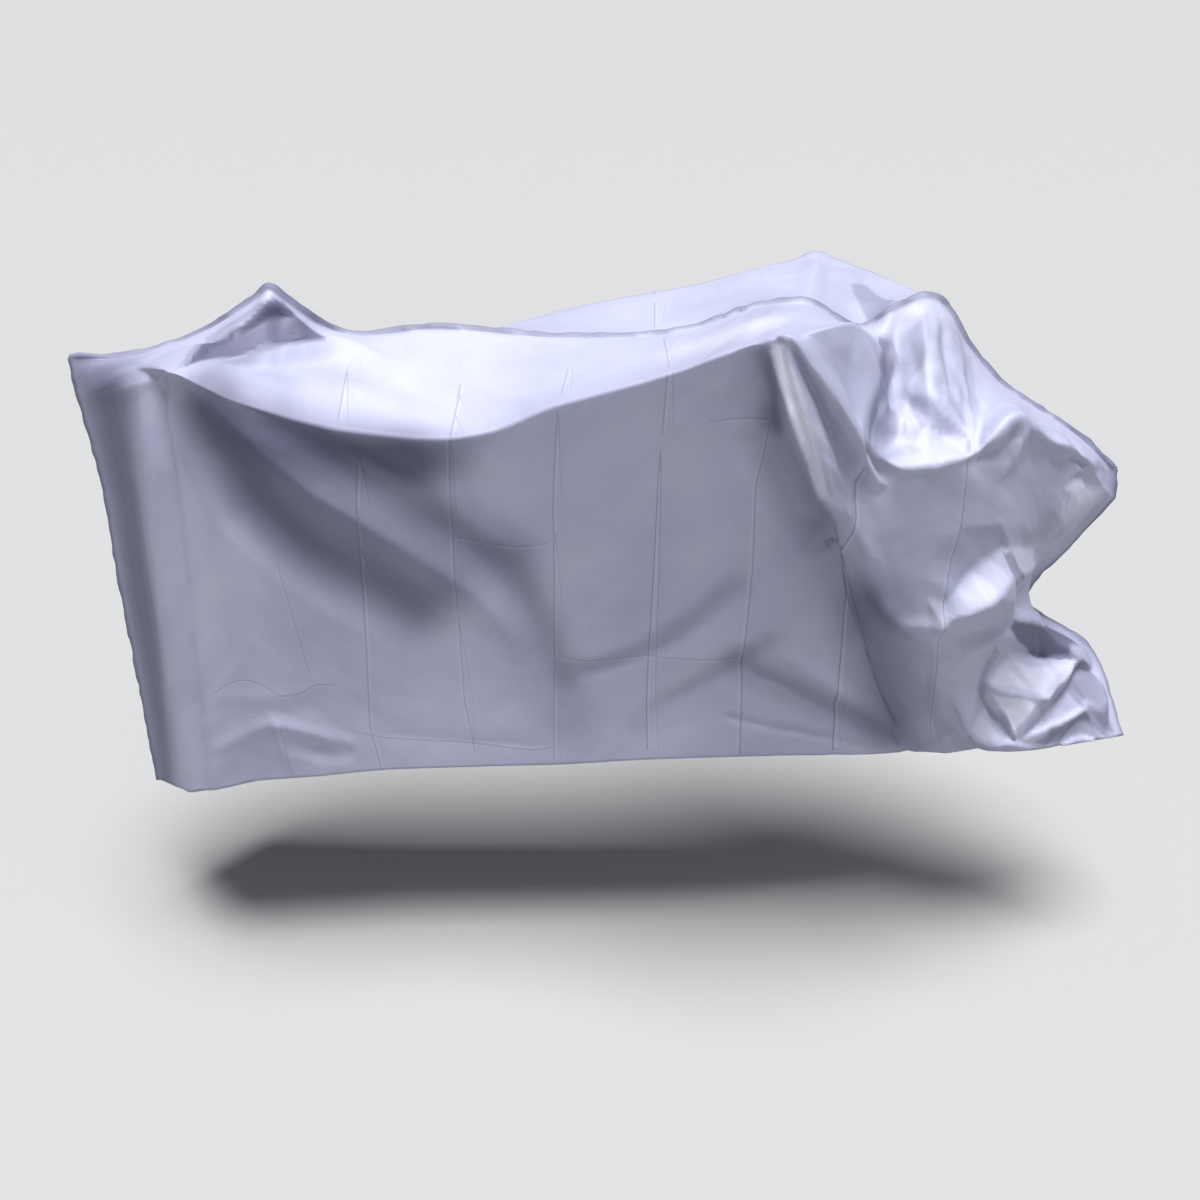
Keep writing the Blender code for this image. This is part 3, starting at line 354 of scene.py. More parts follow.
FAR_FOLDS = (
    Fold("tail crease", 34, 0.9, ((-770, 1.2, 0), (-775, 2.5, 10), (-785, 4.95, 8))),
    Fold("corner wedge", 50, 0.5, ((-697, 1.4, 0), (-705, 2.1, 12), (-690, 3.4, 6), (-680, 4.2, 0))),
    Fold("swag hollow", 58, 0.2, ((-680, 1.3, 0), (-620, 2.0, -20), (-520, 2.9, -18), (-420, 3.6, 0))),
    Fold("swag", 46, 0.5, ((-680, 1.1, 0), (-560, 1.9, 18), (-430, 2.5, 20), (-300, 3.2, 6))),
    Fold("back hollow", 52, 0.2, ((-190, 1.4, 0), (-170, 2.4, -12), (-150, 3.6, -10), (-140, 4.6, 0))),
    Fold("shoulder rear ridge", 34, 0.8, ((290, 1.0, 6), (250, 1.8, 18), (200, 2.8, 16), (150, 3.9, 0))),
    Fold("shoulder great hollow", 60, 0.2, ((320, 1.3, -6), (310, 2.0, -30), (290, 3.0, -28),
        (270, 4.2, -8))),
    Fold("shoulder front ridge", 32, 0.8, ((320, 1.0, 6), (360, 1.6, 20), (400, 2.3, 16),
        (430, 3.0, 0))),
    Fold("bulge corner", 30, 0.7, ((480, 1.0, 8), (500, 1.8, 14), (490, 2.6, 6))),
    Fold("bulge ledge", 34, 0.8, ((430, 3.0, 8), (500, 3.1, 16), (580, 2.95, 8))),
    Fold("low front hollow", 26, 0.3, ((600, 3.3, -6), (670, 3.5, -14), (740, 3.8, -4))),
    Fold("low rear ridge", 30, 0.7, ((460, 3.8, 6), (530, 4.2, 14), (590, 4.8, 6))),
    Fold("low fold", 26, 0.6, ((200, 3.9, -4), (330, 4.3, -10), (450, 4.9, -2))),
    Fold("peak edge", 30, 0.8, ((-590, 0.0, 4), (-630, 0.4, 10), (-665, 0.7, 0))),
    Fold("shoulder roof ridge", 32, 0.6, ((250, 0.1, 4), (285, 0.6, 10), (305, 1.0, 6))),
)

# One crease left from packing: which way it runs, how high it stands, and its line, as places (millimetres
# ahead, level)
UPRIGHT = "upright"
LEVEL = "level"
Crease = namedtuple("Crease", "name way height line")
NEAR_CREASES = (
    Crease("first upright", UPRIGHT, -2.2, ((-445, 1.4), (-455, 2.8), (-460, 4.35), (-445, 5))),
    Crease("second upright", UPRIGHT, 1.8, ((-305, 1.05), (-305, 2.85), (-300, 4), (-285, 4.8))),
    Crease("third upright", UPRIGHT, -2.4, ((-145, 1.1), (-150, 3.05), (-150, 4.35), (-150, 4.95))),
    Crease("fourth upright", UPRIGHT, -2.6, ((10, 1), (5, 2.05), (5, 3.6), (10, 4.9))),
    Crease("fifth upright", UPRIGHT, 2.2, ((155, 1.8), (150, 2.35), (160, 3), (160, 3.85), (170, 4.95))),
    Crease("sixth upright", UPRIGHT, -3.0, ((305, 1.35), (300, 2.05), (310, 3.25), (325, 4.2),
        (335, 4.95))),
    Crease("seventh upright", UPRIGHT, 2.2, ((470, 1.05), (475, 1.8), (465, 2.75), (485, 3.65),
        (515, 4.85))),
    Crease("eighth upright", UPRIGHT, 1.6, ((675, 1.6), (675, 1.9), (700, 2.3))),
    Crease("rear roof tick", UPRIGHT, -2.2, ((-470, 0.6), (-470, 0.95))),
    Crease("dip roof tick", UPRIGHT, -2.4, ((-295, 0.5), (-305, 1.0))),
    Crease("back roof tick", UPRIGHT, -2.0, ((-130, 0.5), (-140, 0.85))),
    Crease("neck roof tick", UPRIGHT, -2.0, ((20, 0.1), (15, 0.85))),
    Crease("middle level line", LEVEL, 1.6, ((-310, 2.3), (-160, 2.5))),
    Crease("shin level line", LEVEL, 1.6, ((-140, 3.65), (10, 3.7), (155, 3.8))),
    Crease("low level line", LEVEL, -2.0, ((-470, 4.45), (-310, 4.6), (-150, 4.75))),
    Crease("rear low line", LEVEL, 2.0, ((-715, 3.95), (-600, 3.95), (-515, 3.85))),
    Crease("shoulder level line", LEVEL, 1.8, ((70, 1.7), (155, 1.8))),
    Crease("rear slanting line", UPRIGHT, 1.2, ((-580, 2.8), (-550, 3.75))),
    Crease("hem upright", UPRIGHT, 1.2, ((-605, 4.3), (-595, 4.95))),
)
FAR_CREASES = (
    Crease("first upright", UPRIGHT, 2.0, ((-455, 1.1), (-460, 2.8), (-450, 5))),
    Crease("second upright", UPRIGHT, -2.0, ((-305, 1.05), (-300, 2.9), (-295, 4.9))),
    Crease("third upright", UPRIGHT, 2.2, ((-150, 1.1), (-145, 3.0), (-150, 4.95))),
    Crease("fourth upright", UPRIGHT, -2.2, ((10, 0.2), (5, 2.0), (10, 4.9))),
    Crease("fifth upright", UPRIGHT, 2.0, ((160, 1.1), (155, 2.6), (165, 4.95))),
    Crease("seventh upright", UPRIGHT, -2.0, ((470, 1.2), (475, 2.2), (480, 4.8))),
    Crease("upper level line", LEVEL, 1.6, ((-640, 1.8), (-300, 2.0), (150, 2.1))),
    Crease("middle level line", LEVEL, -1.8, ((-700, 3.1), (-150, 3.2), (200, 3.1), (470, 3.2))),
    Crease("low level line", LEVEL, 1.6, ((-650, 4.4), (-300, 4.45), (100, 4.4), (440, 4.4))),
)
CREASE_REACH = 42
CREASE_WIDTH = 12
CREASE_OVERRUN = 0.02
CREASE_END_RISE = 3

# One stretch of painted shade, or of painted light where dark is below 0, standing in for how light falls
# on the
# thin film: how far it reaches in millimetres, how dark it is, from -1 for painted light to 1 for painted
# shade, and its line, as places (millimetres ahead, level)
Shade = namedtuple("Shade", "name reach dark line")
NEAR_SHADES = (
    Shade("tail", 110, 0.72, ((-850, 0.75), (-850, 2.2), (-850, 3.2), (-850, 4.2), (-855, 5))),
    Shade("under rear rim", 85, 0.84, ((-650, 1.3), (-600, 1.3), (-470, 1.3), (-370, 1.3))),
    Shade("under dip rim", 70, 0.5, ((-370, 1.3), (-310, 1.25))),
    Shade("rear hollow", 95, 0.70, ((-640, 1.7), (-590, 2.2), (-520, 2.55), (-430, 2.75), (-370, 3.0))),
    Shade("rear between", 90, 0.52, ((-560, 1.7), (-450, 2.1), (-360, 2.3), (-300, 2.6))),
    Shade("dip hollow", 80, 0.30, ((-400, 1.5), (-320, 2.0), (-230, 2.5))),
    Shade("back hollow", 85, 0.32, ((-225, 2.5), (-170, 3.5), (-130, 4.3))),
    Shade("slanting", 40, 0.22, ((-130, 3.85), (5, 3.65), (135, 3.15))),
    Shade("lower slanting", 40, 0.18, ((-5, 4.45), (75, 4.1), (195, 3.65))),
    Shade("great hollow", 70, 0.35, ((165, 1.9), (205, 2.25), (245, 2.5), (290, 2.9), (340, 3.3))),
    Shade("under notch", 30, 0.5, ((140, 1.15), (155, 1.45), (160, 1.8))),
    Shade("below ledge", 90, 0.55, ((350, 3.0), (390, 3.6), (440, 4.4))),
    Shade("shoulder roof", 90, -0.25, ((60, 0.5), (130, 0.6))),
    Shade("rear roof", 60, 0.15, ((-650, 0.8), (-560, 0.8))),
    Shade("low fold", 55, 0.35, ((150, 3.8), (245, 4.05), (355, 4.35), (490, 4.9))),
)
FAR_SHADES = (
    Shade("tail", 120, 0.3, ((-850, 0.9), (-850, 2.2), (-850, 3.2), (-850, 4.2), (-855, 5))),
    Shade("rear hollow", 110, 0.3, ((-600, 1.6), (-450, 2.4), (-330, 2.9))),
    Shade("great hollow", 90, 0.3, ((310, 1.8), (290, 2.6), (270, 3.4))),
)
# The most painted shade anywhere; the painted shade in a ragged line along the seam and how far it reaches
# from the seam in millimetres; and the painted shade on the upturned fin
SHADE_LIMIT = 0.85
SEAM_SHADE = 0.6
SEAM_SHADE_REACH = 10
FIN_SHADE = 0.6

# One facet of painted shade, or of painted light where dark is below 0, standing in for how light falls on
# the film
# there: how soft its edge is in millimetres, how dark it is, from -1 for painted light to 1 for painted
# shade, and its outline, as places (millimetres ahead, level)
Facet = namedtuple("Facet", "name soft dark outline")
NEAR_PAINTED_FACETS = (
    Facet("peak facet", 4, 0.78, ((-590, 0.1), (-570, 0.05), (-550, 0.15), (-510, 0.5), (-545, 0.5),
        (-595, 0.45), (-640, 0.5), (-680, 0.55), (-670, 0.25), (-625, 0.25))),
    Facet("tail ear", 6, -0.15, ((-900, 0.15), (-790, 0.4), (-825, 0.65), (-875, 0.85))),
    Facet("corner wedge", 30, -0.07, ((-700, 1.25), (-680, 1.35), (-655, 1.7), (-625, 2.2), (-600, 2.75),
        (-615, 3.45), (-715, 3.6), (-740, 3.05), (-730, 2.3), (-710, 1.65))),
    Facet("great hollow", 26, 0.08, ((130, 1.1), (140, 1.35), (150, 1.65), (170, 1.95), (190, 2.35),
        (215, 2.55), (245, 2.45), (280, 2.65), (320, 2.8), (355, 3.25), (380, 3.45), (445, 4.15),
        (500, 4.85), (415, 4.8), (335, 4), (275, 3.55), (220, 3.1), (175, 2.65), (145, 2.25), (130, 1.85),
        (125, 1.4))),
    Facet("shoulder ridges", 7, -0.62, ((145, 1.1), (170, 1.4), (190, 1.65), (215, 1.9), (235, 2.25),
        (250, 2.1), (230, 1.85), (210, 1.6), (190, 1.35), (165, 1.05))),
    Facet("dark flank", 8, 0.16, ((185, 1.1), (210, 1.35), (230, 1.55), (245, 1.8), (260, 2.1), (280, 2.15),
        (295, 1.3), (260, 1.25), (230, 1.25), (205, 1.2), (180, 1.05))),
    Facet("front of shoulder", 10, -0.04, ((175, 1), (195, 1.1), (230, 1.2), (260, 1.2), (285, 1.15),
        (280, 1), (270, 0.9), (265, 0.8), (280, 0.65), (310, 0.55), (255, 0.55), (215, 0.4))),
    Facet("pocket wall", 4, 0.54, ((355, 0.15), (380, 0.15), (385, 0.25), (370, 0.4), (325, 0.75),
        (315, 0.9), (310, 1), (305, 0.95), (310, 0.8), (325, 0.65))),
    Facet("shelf", 4, -0.12, ((470, 2.9), (490, 2.7), (520, 2.55), (540, 2.45), (555, 2.45), (560, 2.55),
        (565, 2.7), (555, 2.75), (525, 2.8), (495, 2.85))),
    Facet("right of shelf", 12, -0.20, ((565, 2.45), (670, 2.35), (680, 2.4), (625, 2.7), (585, 2.75),
        (570, 2.65), (565, 2.55))),
    Facet("lens", 5, 0.72, ((605, 3.2), (645, 3.3), (730, 3.65), (765, 3.85), (750, 3.9), (730, 3.85),
        (690, 3.85), (660, 3.65), (630, 3.5), (600, 3.3))),
    Facet("upper facet", 6, -0.25, ((610, 3.7), (665, 3.9), (725, 3.95), (760, 4), (715, 4.1), (680, 4.25),
        (620, 4), (580, 3.9))),
    Facet("middle facet", 4, -0.50, ((585, 4.05), (615, 4.15), (670, 4.35), (655, 4.55), (640, 4.7),
        (615, 4.4))),
    Facet("low facet", 7, -0.25, ((570, 4.55), (575, 4.4), (585, 4.3), (600, 4.55), (620, 4.8),
        (595, 4.8))),
    Facet("front facet", 6, 0.42, ((660, 4.75), (705, 4.6), (795, 4.15), (810, 4.3), (835, 4.55),
        (775, 4.55), (710, 4.65))),
    Facet("front hem", 5, 0.50, ((680, 4.9), (705, 4.75), (775, 4.65), (825, 4.65), (840, 4.95),
        (735, 4.95))),
    Facet("left ridge", 12, -0.10, ((500, 3.7), (530, 3.55), (555, 3.45), (570, 3.9), (565, 4.45),
        (535, 4.05))),
    Facet("below shelf", 10, 0.10, ((505, 3.3), (565, 3.2), (575, 2.95), (625, 2.95), (625, 3), (575, 3.05),
        (575, 3.4), (525, 3.5))),
    Facet("strip", 4, -0.20, ((685, 4.3), (715, 4.15), (765, 4), (780, 4.05), (740, 4.25), (700, 4.35))),
    Facet("under brow", 12, 0.15, ((635, 2.7), (720, 2.2), (760, 1.6), (780, 1.15), (770, 1.2), (710, 1.85),
        (675, 2.25), (635, 2.55))),
    Facet("nose face", 12, -0.30, ((675, 1.65), (770, 1), (770, 1.25), (740, 1.75), (700, 2.2), (665, 2))),
    Facet("sliver", 3, -0.25, ((550, 1.05), (560, 1.2), (555, 1.55), (555, 1.25))),
    Facet("bulge face", 40, 0.10, ((345, 1.35), (460, 1.25), (510, 1.65), (510, 2.2), (465, 2.7),
        (395, 2.8), (350, 2.4))),
    Facet("neck valley", 6, 0.25, ((575, 3.45), (595, 3.6), (575, 3.9), (580, 4.15), (615, 4.5),
        (635, 4.75), (625, 4.75), (595, 4.4), (565, 4.05), (570, 3.7))),
    Facet("pocket back", 8, 0.26, ((390, 0.15), (435, 0.1), (435, 0.25), (420, 0.4), (400, 0.4), (390, 0.5),
        (335, 0.75), (375, 0.35), (385, 0.2))),
    Facet("pocket strip", 8, 0.16, ((450, 0.15), (485, 0.05), (495, 0.25), (485, 0.8), (435, 0.65),
        (425, 0.6), (440, 0.4))),
    Facet("pocket triangle", 4, 0.32, ((395, 0.45), (435, 0.7), (480, 0.85), (435, 0.8), (405, 0.75),
        (395, 0.55))),
    Facet("pocket curl", 8, 0.14, ((320, 0.85), (365, 0.65), (375, 0.75), (360, 0.8), (315, 1))),
    Facet("beside shelf", 4, 0.50, ((560, 2.45), (580, 2.5), (595, 2.65), (615, 2.75), (580, 2.8),
        (570, 2.65), (565, 2.55))),
    Facet("under curl", 6, 0.20, ((310, 1.1), (365, 0.9), (400, 0.9), (390, 0.8), (370, 0.8), (340, 0.95))),
    Facet("peak strip", 5, 0.34, ((-600, 0.1), (-635, 0.15), (-680, 0.2), (-690, 0.5), (-680, 0.5),
        (-655, 0.35), (-620, 0.25), (-590, 0.15))),
    Facet("bulge side", 22, 0.17, ((505, 1.35), (660, 1.7), (660, 2.3), (565, 2.4), (520, 2))),
)
FAR_PAINTED_FACETS = (
    Facet("far dark", 6, 0.35, ((350, 0.65), (380, 0.75), (405, 0.35), (375, 0.15), (350, 0.1),
        (350, 0.4))),
)

# The film's colours: lighter and darker by chance, then the colour of painted shade, and the colour of
# painted light and painted highlight
FILM_LIGHT = (0.37, 0.38, 0.49, 1)
FILM_DARK = (0.31, 0.32, 0.44, 1)
FILM_PAINTED_SHADE = (0.04, 0.04, 0.09, 1)
FILM_PAINTED_LIGHT = (0.7, 0.7, 0.8, 1)
FILM_METALLIC = 0.15
FILM_IOR = 1.5
FILM_ROUGHNESS = (0.60, 0.68)
FILM_BUMP = 0.5

# What the fine relief is made of: how high its grain and its packing creases are against its wrinkles, how
# steep the wrinkles are, and how much painted shade a crease's groove gets and how much painted highlight
# its lip gets
GRAIN_HEIGHT = 0.1
CREASE_RELIEF = 0.25
WRINKLE_STEEPNESS = 4.0
GROOVE_PAINTED_SHADE = 0.5
LIP_PAINTED_HIGHLIGHT = 0.12

# One patch of crumples: where its middle is, how far it spreads and how high it stands, all in millimetres
Patch = namedtuple("Patch", "name ahead level spread height")
NEAR_PATCHES = (
    Patch("rear peak", -600, 0.2, 120, 2.0),
    Patch("rear corner", -700, 1.0, 90, 1.6),
    Patch("rear hem", -600, 4.5, 150, 2.2),
    Patch("seam ahead", 250, 0.1, 200, 2.6),
    Patch("shoulder", 250, 1.0, 130, 3.4),
    Patch("pocket", 440, 0.5, 130, 4.0),
    Patch("front bulge", 560, 1.2, 120, 3.0),
    Patch("brow", 700, 0.6, 120, 3.0),
    Patch("shelf", 560, 2.9, 110, 4.0),
    Patch("low front", 680, 4.0, 160, 5.5),
    Patch("low fold", 330, 4.3, 160, 2.0),
)
FAR_PATCHES = (
    Patch("rear peak", -600, 0.2, 120, 2.0),
    Patch("rear corner", -700, 1.4, 120, 2.4),
    Patch("rear hem", -560, 4.5, 170, 2.4),
    Patch("shoulder", 300, 0.9, 180, 4.0),
    Patch("front bulge", 560, 1.3, 170, 4.0),
    Patch("shelf", 540, 3.0, 130, 4.0),
    Patch("low front", 680, 4.0, 170, 5.0),
)
CALM_HEIGHT = 0.7

# One size of crumple: its cell in millimetres and its share of a patch's height
Crumple = namedtuple("Crumple", "cell share")
CRUMPLES = (Crumple(95, 1.0), Crumple(48, 0.7), Crumple(24, 0.35))
CRUMPLE_JITTER = 0.42


def knots_along(points):
    """Running length through the points, which spaces the stations."""
    steps = np.linalg.norm(np.diff(points, axis=0), axis=1)
    return np.concatenate([[0.0], np.cumsum(steps)])


def smooth_through(knots, values, at):
    """A smooth curve through values at the knots, read at the places in at."""
    slopes = np.empty_like(values)
    spans = np.diff(knots)
    rises = np.diff(values, axis=0) / spans.reshape(-1, *[1] * (values.ndim - 1))
    before = spans[:-1].reshape(-1, *[1] * (values.ndim - 1))
    after = spans[1:].reshape(-1, *[1] * (values.ndim - 1))
    slopes[1:-1] = (rises[:-1] * after + rises[1:] * before) / (before + after)
    slopes[0] = rises[0]
    slopes[-1] = rises[-1]
    start = np.clip(np.searchsorted(knots, at, side="right") - 1, 0, len(knots) - 2)
    shape = (-1, *[1] * (values.ndim - 1))
    span = spans[start].reshape(shape)
    part = ((at - knots[start]) / spans[start]).reshape(shape)
    blend = part * part * (3 - 2 * part)
    lean_out = part * (1 - part) ** 2 * span
    lean_in = part * part * (part - 1) * span
    return (
        values[start] * (1 - blend)
        + values[start + 1] * blend
        + slopes[start] * lean_out
        + slopes[start + 1] * lean_in
    )


def column_places(knots, seam):
    """Where the columns cross the seam: closer together towards the front."""
    run = np.linspace(0, knots[-1], SEAM_SAMPLES)
    ahead = np.interp(run, knots, seam[:, 0]) / MM
    density = 1 / (np.interp(ahead, SPACING_AHEAD, SPACING) * MM)
    count = np.concatenate([[0.0], np.cumsum((density[1:] + density[:-1]) / 2 * np.diff(run))])
    columns = int(round(count[-1]))
    return np.interp(np.linspace(0, count[-1], columns + 1), count, run)


def panel_surface(ribs):
    """The panel's outer surface: rows from the seam to the hem, columns from the tail to the nose."""
    names = [station.name for station in SEAM]
    seam = np.array([station.seam for station in SEAM]) * MM
    knots = knots_along(seam)
    columns = column_places(knots, seam)
    rib_knots = np.array([knots[names.index(rib.name)] for rib in ribs])
    levels = np.array([rib[2:] for rib in ribs]) * MM
    seam_line = smooth_through(knots, seam, columns)
    lines = smooth_through(rib_knots, levels, columns)
    seam_at_ribs = smooth_through(knots, seam, rib_knots)
    brinks = [
        (start + rib_levels[0]) / 2 if rib.brink is STRAIGHT else np.array(rib.brink) * MM
        for rib, start, rib_levels in zip(ribs, seam_at_ribs, levels)
    ]
    brink_line = smooth_through(rib_knots, np.array(brinks), columns)

    part = (np.arange(ROOF_ROWS // 2) * 2 / ROOF_ROWS).reshape(-1, 1, 1)
    upper_roof = seam_line + (brink_line - seam_line) * part
    lower_roof = brink_line + (lines[:, 0] - brink_line) * part
    side_knots = np.arange(lines.shape[1], dtype=float)
    down = np.linspace(0, side_knots[-1], ROWS_PER_LEVEL * (LEVELS - 1) + 1)
    side = smooth_through(side_knots, lines.transpose(1, 0, 2), down)
    return np.concatenate([upper_roof, lower_roof, side])


ROW_LEVELS = np.concatenate([
    np.arange(ROOF_ROWS) / ROOF_ROWS,
    np.linspace(1, LEVELS, ROWS_PER_LEVEL * (LEVELS - 1) + 1),
])


def unit(vectors):
    """The same directions at a length of one."""
    return vectors / np.maximum(np.linalg.norm(vectors, axis=-1, keepdims=True), SHORTEST)


def outward(surface, side):
    """Unit normals of a grid of points, evened out over their neighbours."""
    normal = unit(np.cross(np.gradient(surface, axis=1), np.gradient(surface, axis=0))) * side
    for _ in range(NORMAL_EVENINGS):
        padded = np.pad(normal, ((1, 1), (1, 1), (0, 0)), mode="edge")
        normal = unit(normal + padded[:-2, 1:-1] + padded[2:, 1:-1] + padded[1:-1, :-2] + padded[1:-1, 2:])
    return normal


def read_at(surface, values, ahead, level):
    """What a grid of values holds at the panel's place that is this far ahead at this level."""
    row = np.interp(level, ROW_LEVELS, np.arange(len(surface)))
    upper = min(int(row), len(surface) - 2)
    part = row - upper
    order = np.maximum.accumulate(surface[upper, :, 0] * (1 - part) + surface[upper + 1, :, 0] * part)
    line = values[upper] * (1 - part) + values[upper + 1] * part
    return np.array([np.interp(ahead, order, line[:, axis]) for axis in range(values.shape[2])])


def place_on(surface, ahead, level):
    """The point of the panel that is this far ahead at this level."""
    return read_at(surface, surface, ahead, level)


def nearest_on(surface, line, reach):
    """How far each point is from a line of points, and which part of the line is nearest, up to reach."""
    nearest = np.full(surface.shape[:2], np.inf)
    along = np.zeros(surface.shape[:2])
    for number, (start, end) in enumerate(zip(line[:-1], line[1:])):
        low = np.minimum(start, end) - reach
        high = np.maximum(start, end) + reach
        near = np.all((surface > low) & (surface < high), axis=2)
        points = surface[near]
        run = end - start
        part = np.clip((points - start) @ run / (run @ run), 0, 1)
        distance = np.linalg.norm(points - start - part[:, None] * run, axis=1)
        closer = distance < nearest[near]
        nearest[near] = np.where(closer, distance, nearest[near])
        along[near] = np.where(closer, number + part, along[near])
    return nearest, along


def fold_height(surface, fold):
    """How high the fold lifts each point: most on its line, and nothing beyond its reach."""
    line = np.array([place_on(surface, ahead * MM, level) for ahead, level, _ in fold.line])
    heights = np.array([height for _, _, height in fold.line]) * MM
    nearest, along = nearest_on(surface, line, fold.reach * MM)
    lift = np.interp(along, np.arange(len(heights)), heights)
    fade = np.clip(1 - nearest / (fold.reach * MM), 0, 1)
    crest = fold.sharp * fade**1.5 + (1 - fold.sharp) * fade * fade * (3 - 2 * fade)
    return lift * crest


def crease_height(surface, crease):
    """How high a packing crease lifts each point."""
    line = np.array([place_on(surface, ahead * MM, level) for ahead, level in crease.line])
    nearest, along = nearest_on(surface, line, CREASE_REACH * MM)
    ends = np.minimum(along, len(line) - 1 - along)
    fade = np.clip(1 - nearest / (CREASE_REACH * MM), 0, 1)
    return crease.height * MM * fade**2 * np.clip(ends * CREASE_END_RISE, 0, 1)


def crease_marks(surface, flat, creases, way):
    """How far each point is to one side of the nearest crease that runs this way, and how strong it is."""
    distance = np.full(flat.shape[:2], CREASE_WIDTH, dtype=float)
    strength = np.zeros(flat.shape[:2])
    for crease in creases:
        if crease.way != way:
            continue
        line = np.array([read_at(surface, flat, ahead * MM, level) for ahead, level in crease.line]) / MM
        for start, end in zip(line[:-1], line[1:]):
            away = flat / MM - start
            run = end - start
            part = (away @ run) / (run @ run)
            aside = (run[0] * away[..., 1] - run[1] * away[..., 0]) / np.linalg.norm(run)
            near = (abs(aside) < CREASE_WIDTH) & (part > -CREASE_OVERRUN) & (part < 1 + CREASE_OVERRUN)
            distance[near] = aside[near]
            strength[near] = crease.height
    return distance, strength


def painted_facet_cover(surface, flat, facet):
    """How much of a facet's painted shade or light each point has: all well inside the outline, none beyond
    it.
    """
    outline = np.array([read_at(surface, flat, ahead * MM, level) for ahead, level in facet.outline])
    soft = facet.soft * MM
    near = np.all((flat > outline.min(axis=0) - soft) & (flat < outline.max(axis=0) + soft), axis=2)
    places = flat[near]
    inside = np.zeros(len(places), dtype=bool)
    nearest = np.full(len(places), np.inf)
    for start, end in zip(outline, np.roll(outline, -1, axis=0)):
        run = end - start
        away = places - start
        part = np.clip(away @ run / (run @ run), 0, 1)
        nearest = np.minimum(nearest, np.linalg.norm(away - part[:, None] * run, axis=1))
        between = (start[1] > places[:, 1]) != (end[1] > places[:, 1])
        inside ^= between & (away[:, 0] < away[:, 1] * run[0] / (run[1] or SHORTEST))
    cover = np.zeros(flat.shape[:2])
    cover[near] = np.clip(0.5 + np.where(inside, nearest, -nearest) / soft, 0, 1)
    return cover


def shade_depth(surface, shades, facets, flat):
    """How much painted shade, or below 0 painted light, each point gets: by the tables, and in a ragged
    line at the seam.
    """
    ragged = SEAM_SHADE * (1 + steady_noise(flat[0, :, 0], SEAM_SHADE_PITCH, SEAM_SHADE_SEED)) / 2
    depth = ragged * np.clip(1 - flat[..., 1] / (SEAM_SHADE_REACH * MM), 0, 1)
    for shade in shades:
        line = np.array([place_on(surface, ahead * MM, level) for ahead, level in shade.line])
        nearest, _ = nearest_on(surface, line, shade.reach * MM)
        fade = np.clip(1 - nearest / (shade.reach * MM), 0, 1)
        depth = 1 - (1 - depth) * (1 - shade.dark * fade * fade * (3 - 2 * fade))
    for facet in facets:
        depth = 1 - (1 - depth) * (1 - facet.dark * painted_facet_cover(surface, flat, facet))
    return np.clip(depth, -1, SHADE_LIMIT)


def flat_places(surface):
    """Where each point lies on the flat film: metres along the panel, and metres down from the seam."""
    down = np.concatenate([
        np.zeros((1, surface.shape[1])),
        np.cumsum(np.linalg.norm(np.diff(surface, axis=0), axis=2), axis=0),
    ])
    middle = surface[len(surface) // 2]
    along = knots_along(middle)
    return np.stack([np.broadcast_to(along, down.shape), down], axis=2)


def facet_field(flat, corners, heights, edges):
    """The height of flat facets that span these corners and edges, at each place of the flat film."""
    points, _, faces, origin, _, _ = delaunay_2d_cdt([Vector(c) for c in corners], edges, [], 0, MERGE)
    raised = [(p.x, p.y, heights[origin[i][0]] if origin[i] else 0.0) for i, p in enumerate(points)]
    facets = BVHTree.FromPolygons(raised, faces)
    low = np.min(corners, axis=0)
    high = np.max(corners, axis=0)
    near = np.all((flat > low) & (flat < high), axis=2)
    field = np.zeros(flat.shape[:2])
    for row, column in np.argwhere(near):
        place = flat[row, column]
        hit = facets.ray_cast(Vector((place[0], place[1], RAY_START)), Vector((0, 0, -1)))[0]
        field[row, column] = hit.z if hit else 0
    return field


def crumple_field(flat, cell, seed):
    """Flat facets of random tilt between jittered corners about a cell apart, from -1 to 1."""
    draw = np.random.default_rng(seed)
    low = flat.min(axis=(0, 1)) - 2 * cell
    high = flat.max(axis=(0, 1)) + 2 * cell
    count = np.ceil((high - low) / cell).astype(int)
    along, down = np.meshgrid(np.arange(count[0]), np.arange(count[1]), indexing="ij")
    corners = np.stack([along.ravel(), down.ravel()], axis=1)
    corners = corners + draw.uniform(-CRUMPLE_JITTER, CRUMPLE_JITTER, corners.shape)
    return facet_field(flat, low + corners * cell, draw.uniform(-1, 1, len(corners)), [])


def zone_height(surface, flat, zone):
    """How high a zone's facets lift each point: along each edge as the table says, and straight between."""
    corners = []
    heights = []
    edges = []
    for number, edge in enumerate(zone.edges):
        first = len(corners)
        for ahead, level, height in edge.line:
            corners.append(read_at(surface, flat, ahead * MM, level))
            heights.append(height * MM)
        last = len(corners) - 1
        edges += [(place, place + 1) for place in range(first, last)]
        if number == 0:
            edges.append((last, first))
    return facet_field(flat, corners, heights, edges)


def patch_heights(surface, patches):
    """How high the crumples stand at each point, in metres."""
    height = np.full(surface.shape[:2], CALM_HEIGHT)
    for patch in patches:
        middle = place_on(surface, patch.ahead * MM, patch.level)
        away = np.linalg.norm(surface - middle, axis=2) / (patch.spread * MM)
        height += patch.height * np.exp(-away * away)
    return height * MM


def eased(surface):
    """The sheet with each inner point drawn a little to its neighbours, as film bridges a sharp turn."""
    for _ in range(EASING_PASSES):
        around = surface[:-2, 1:-1] + surface[2:, 1:-1] + surface[1:-1, :-2] + surface[1:-1, 2:]
        surface[1:-1, 1:-1] += EASING * (around / 4 - surface[1:-1, 1:-1])
    return surface


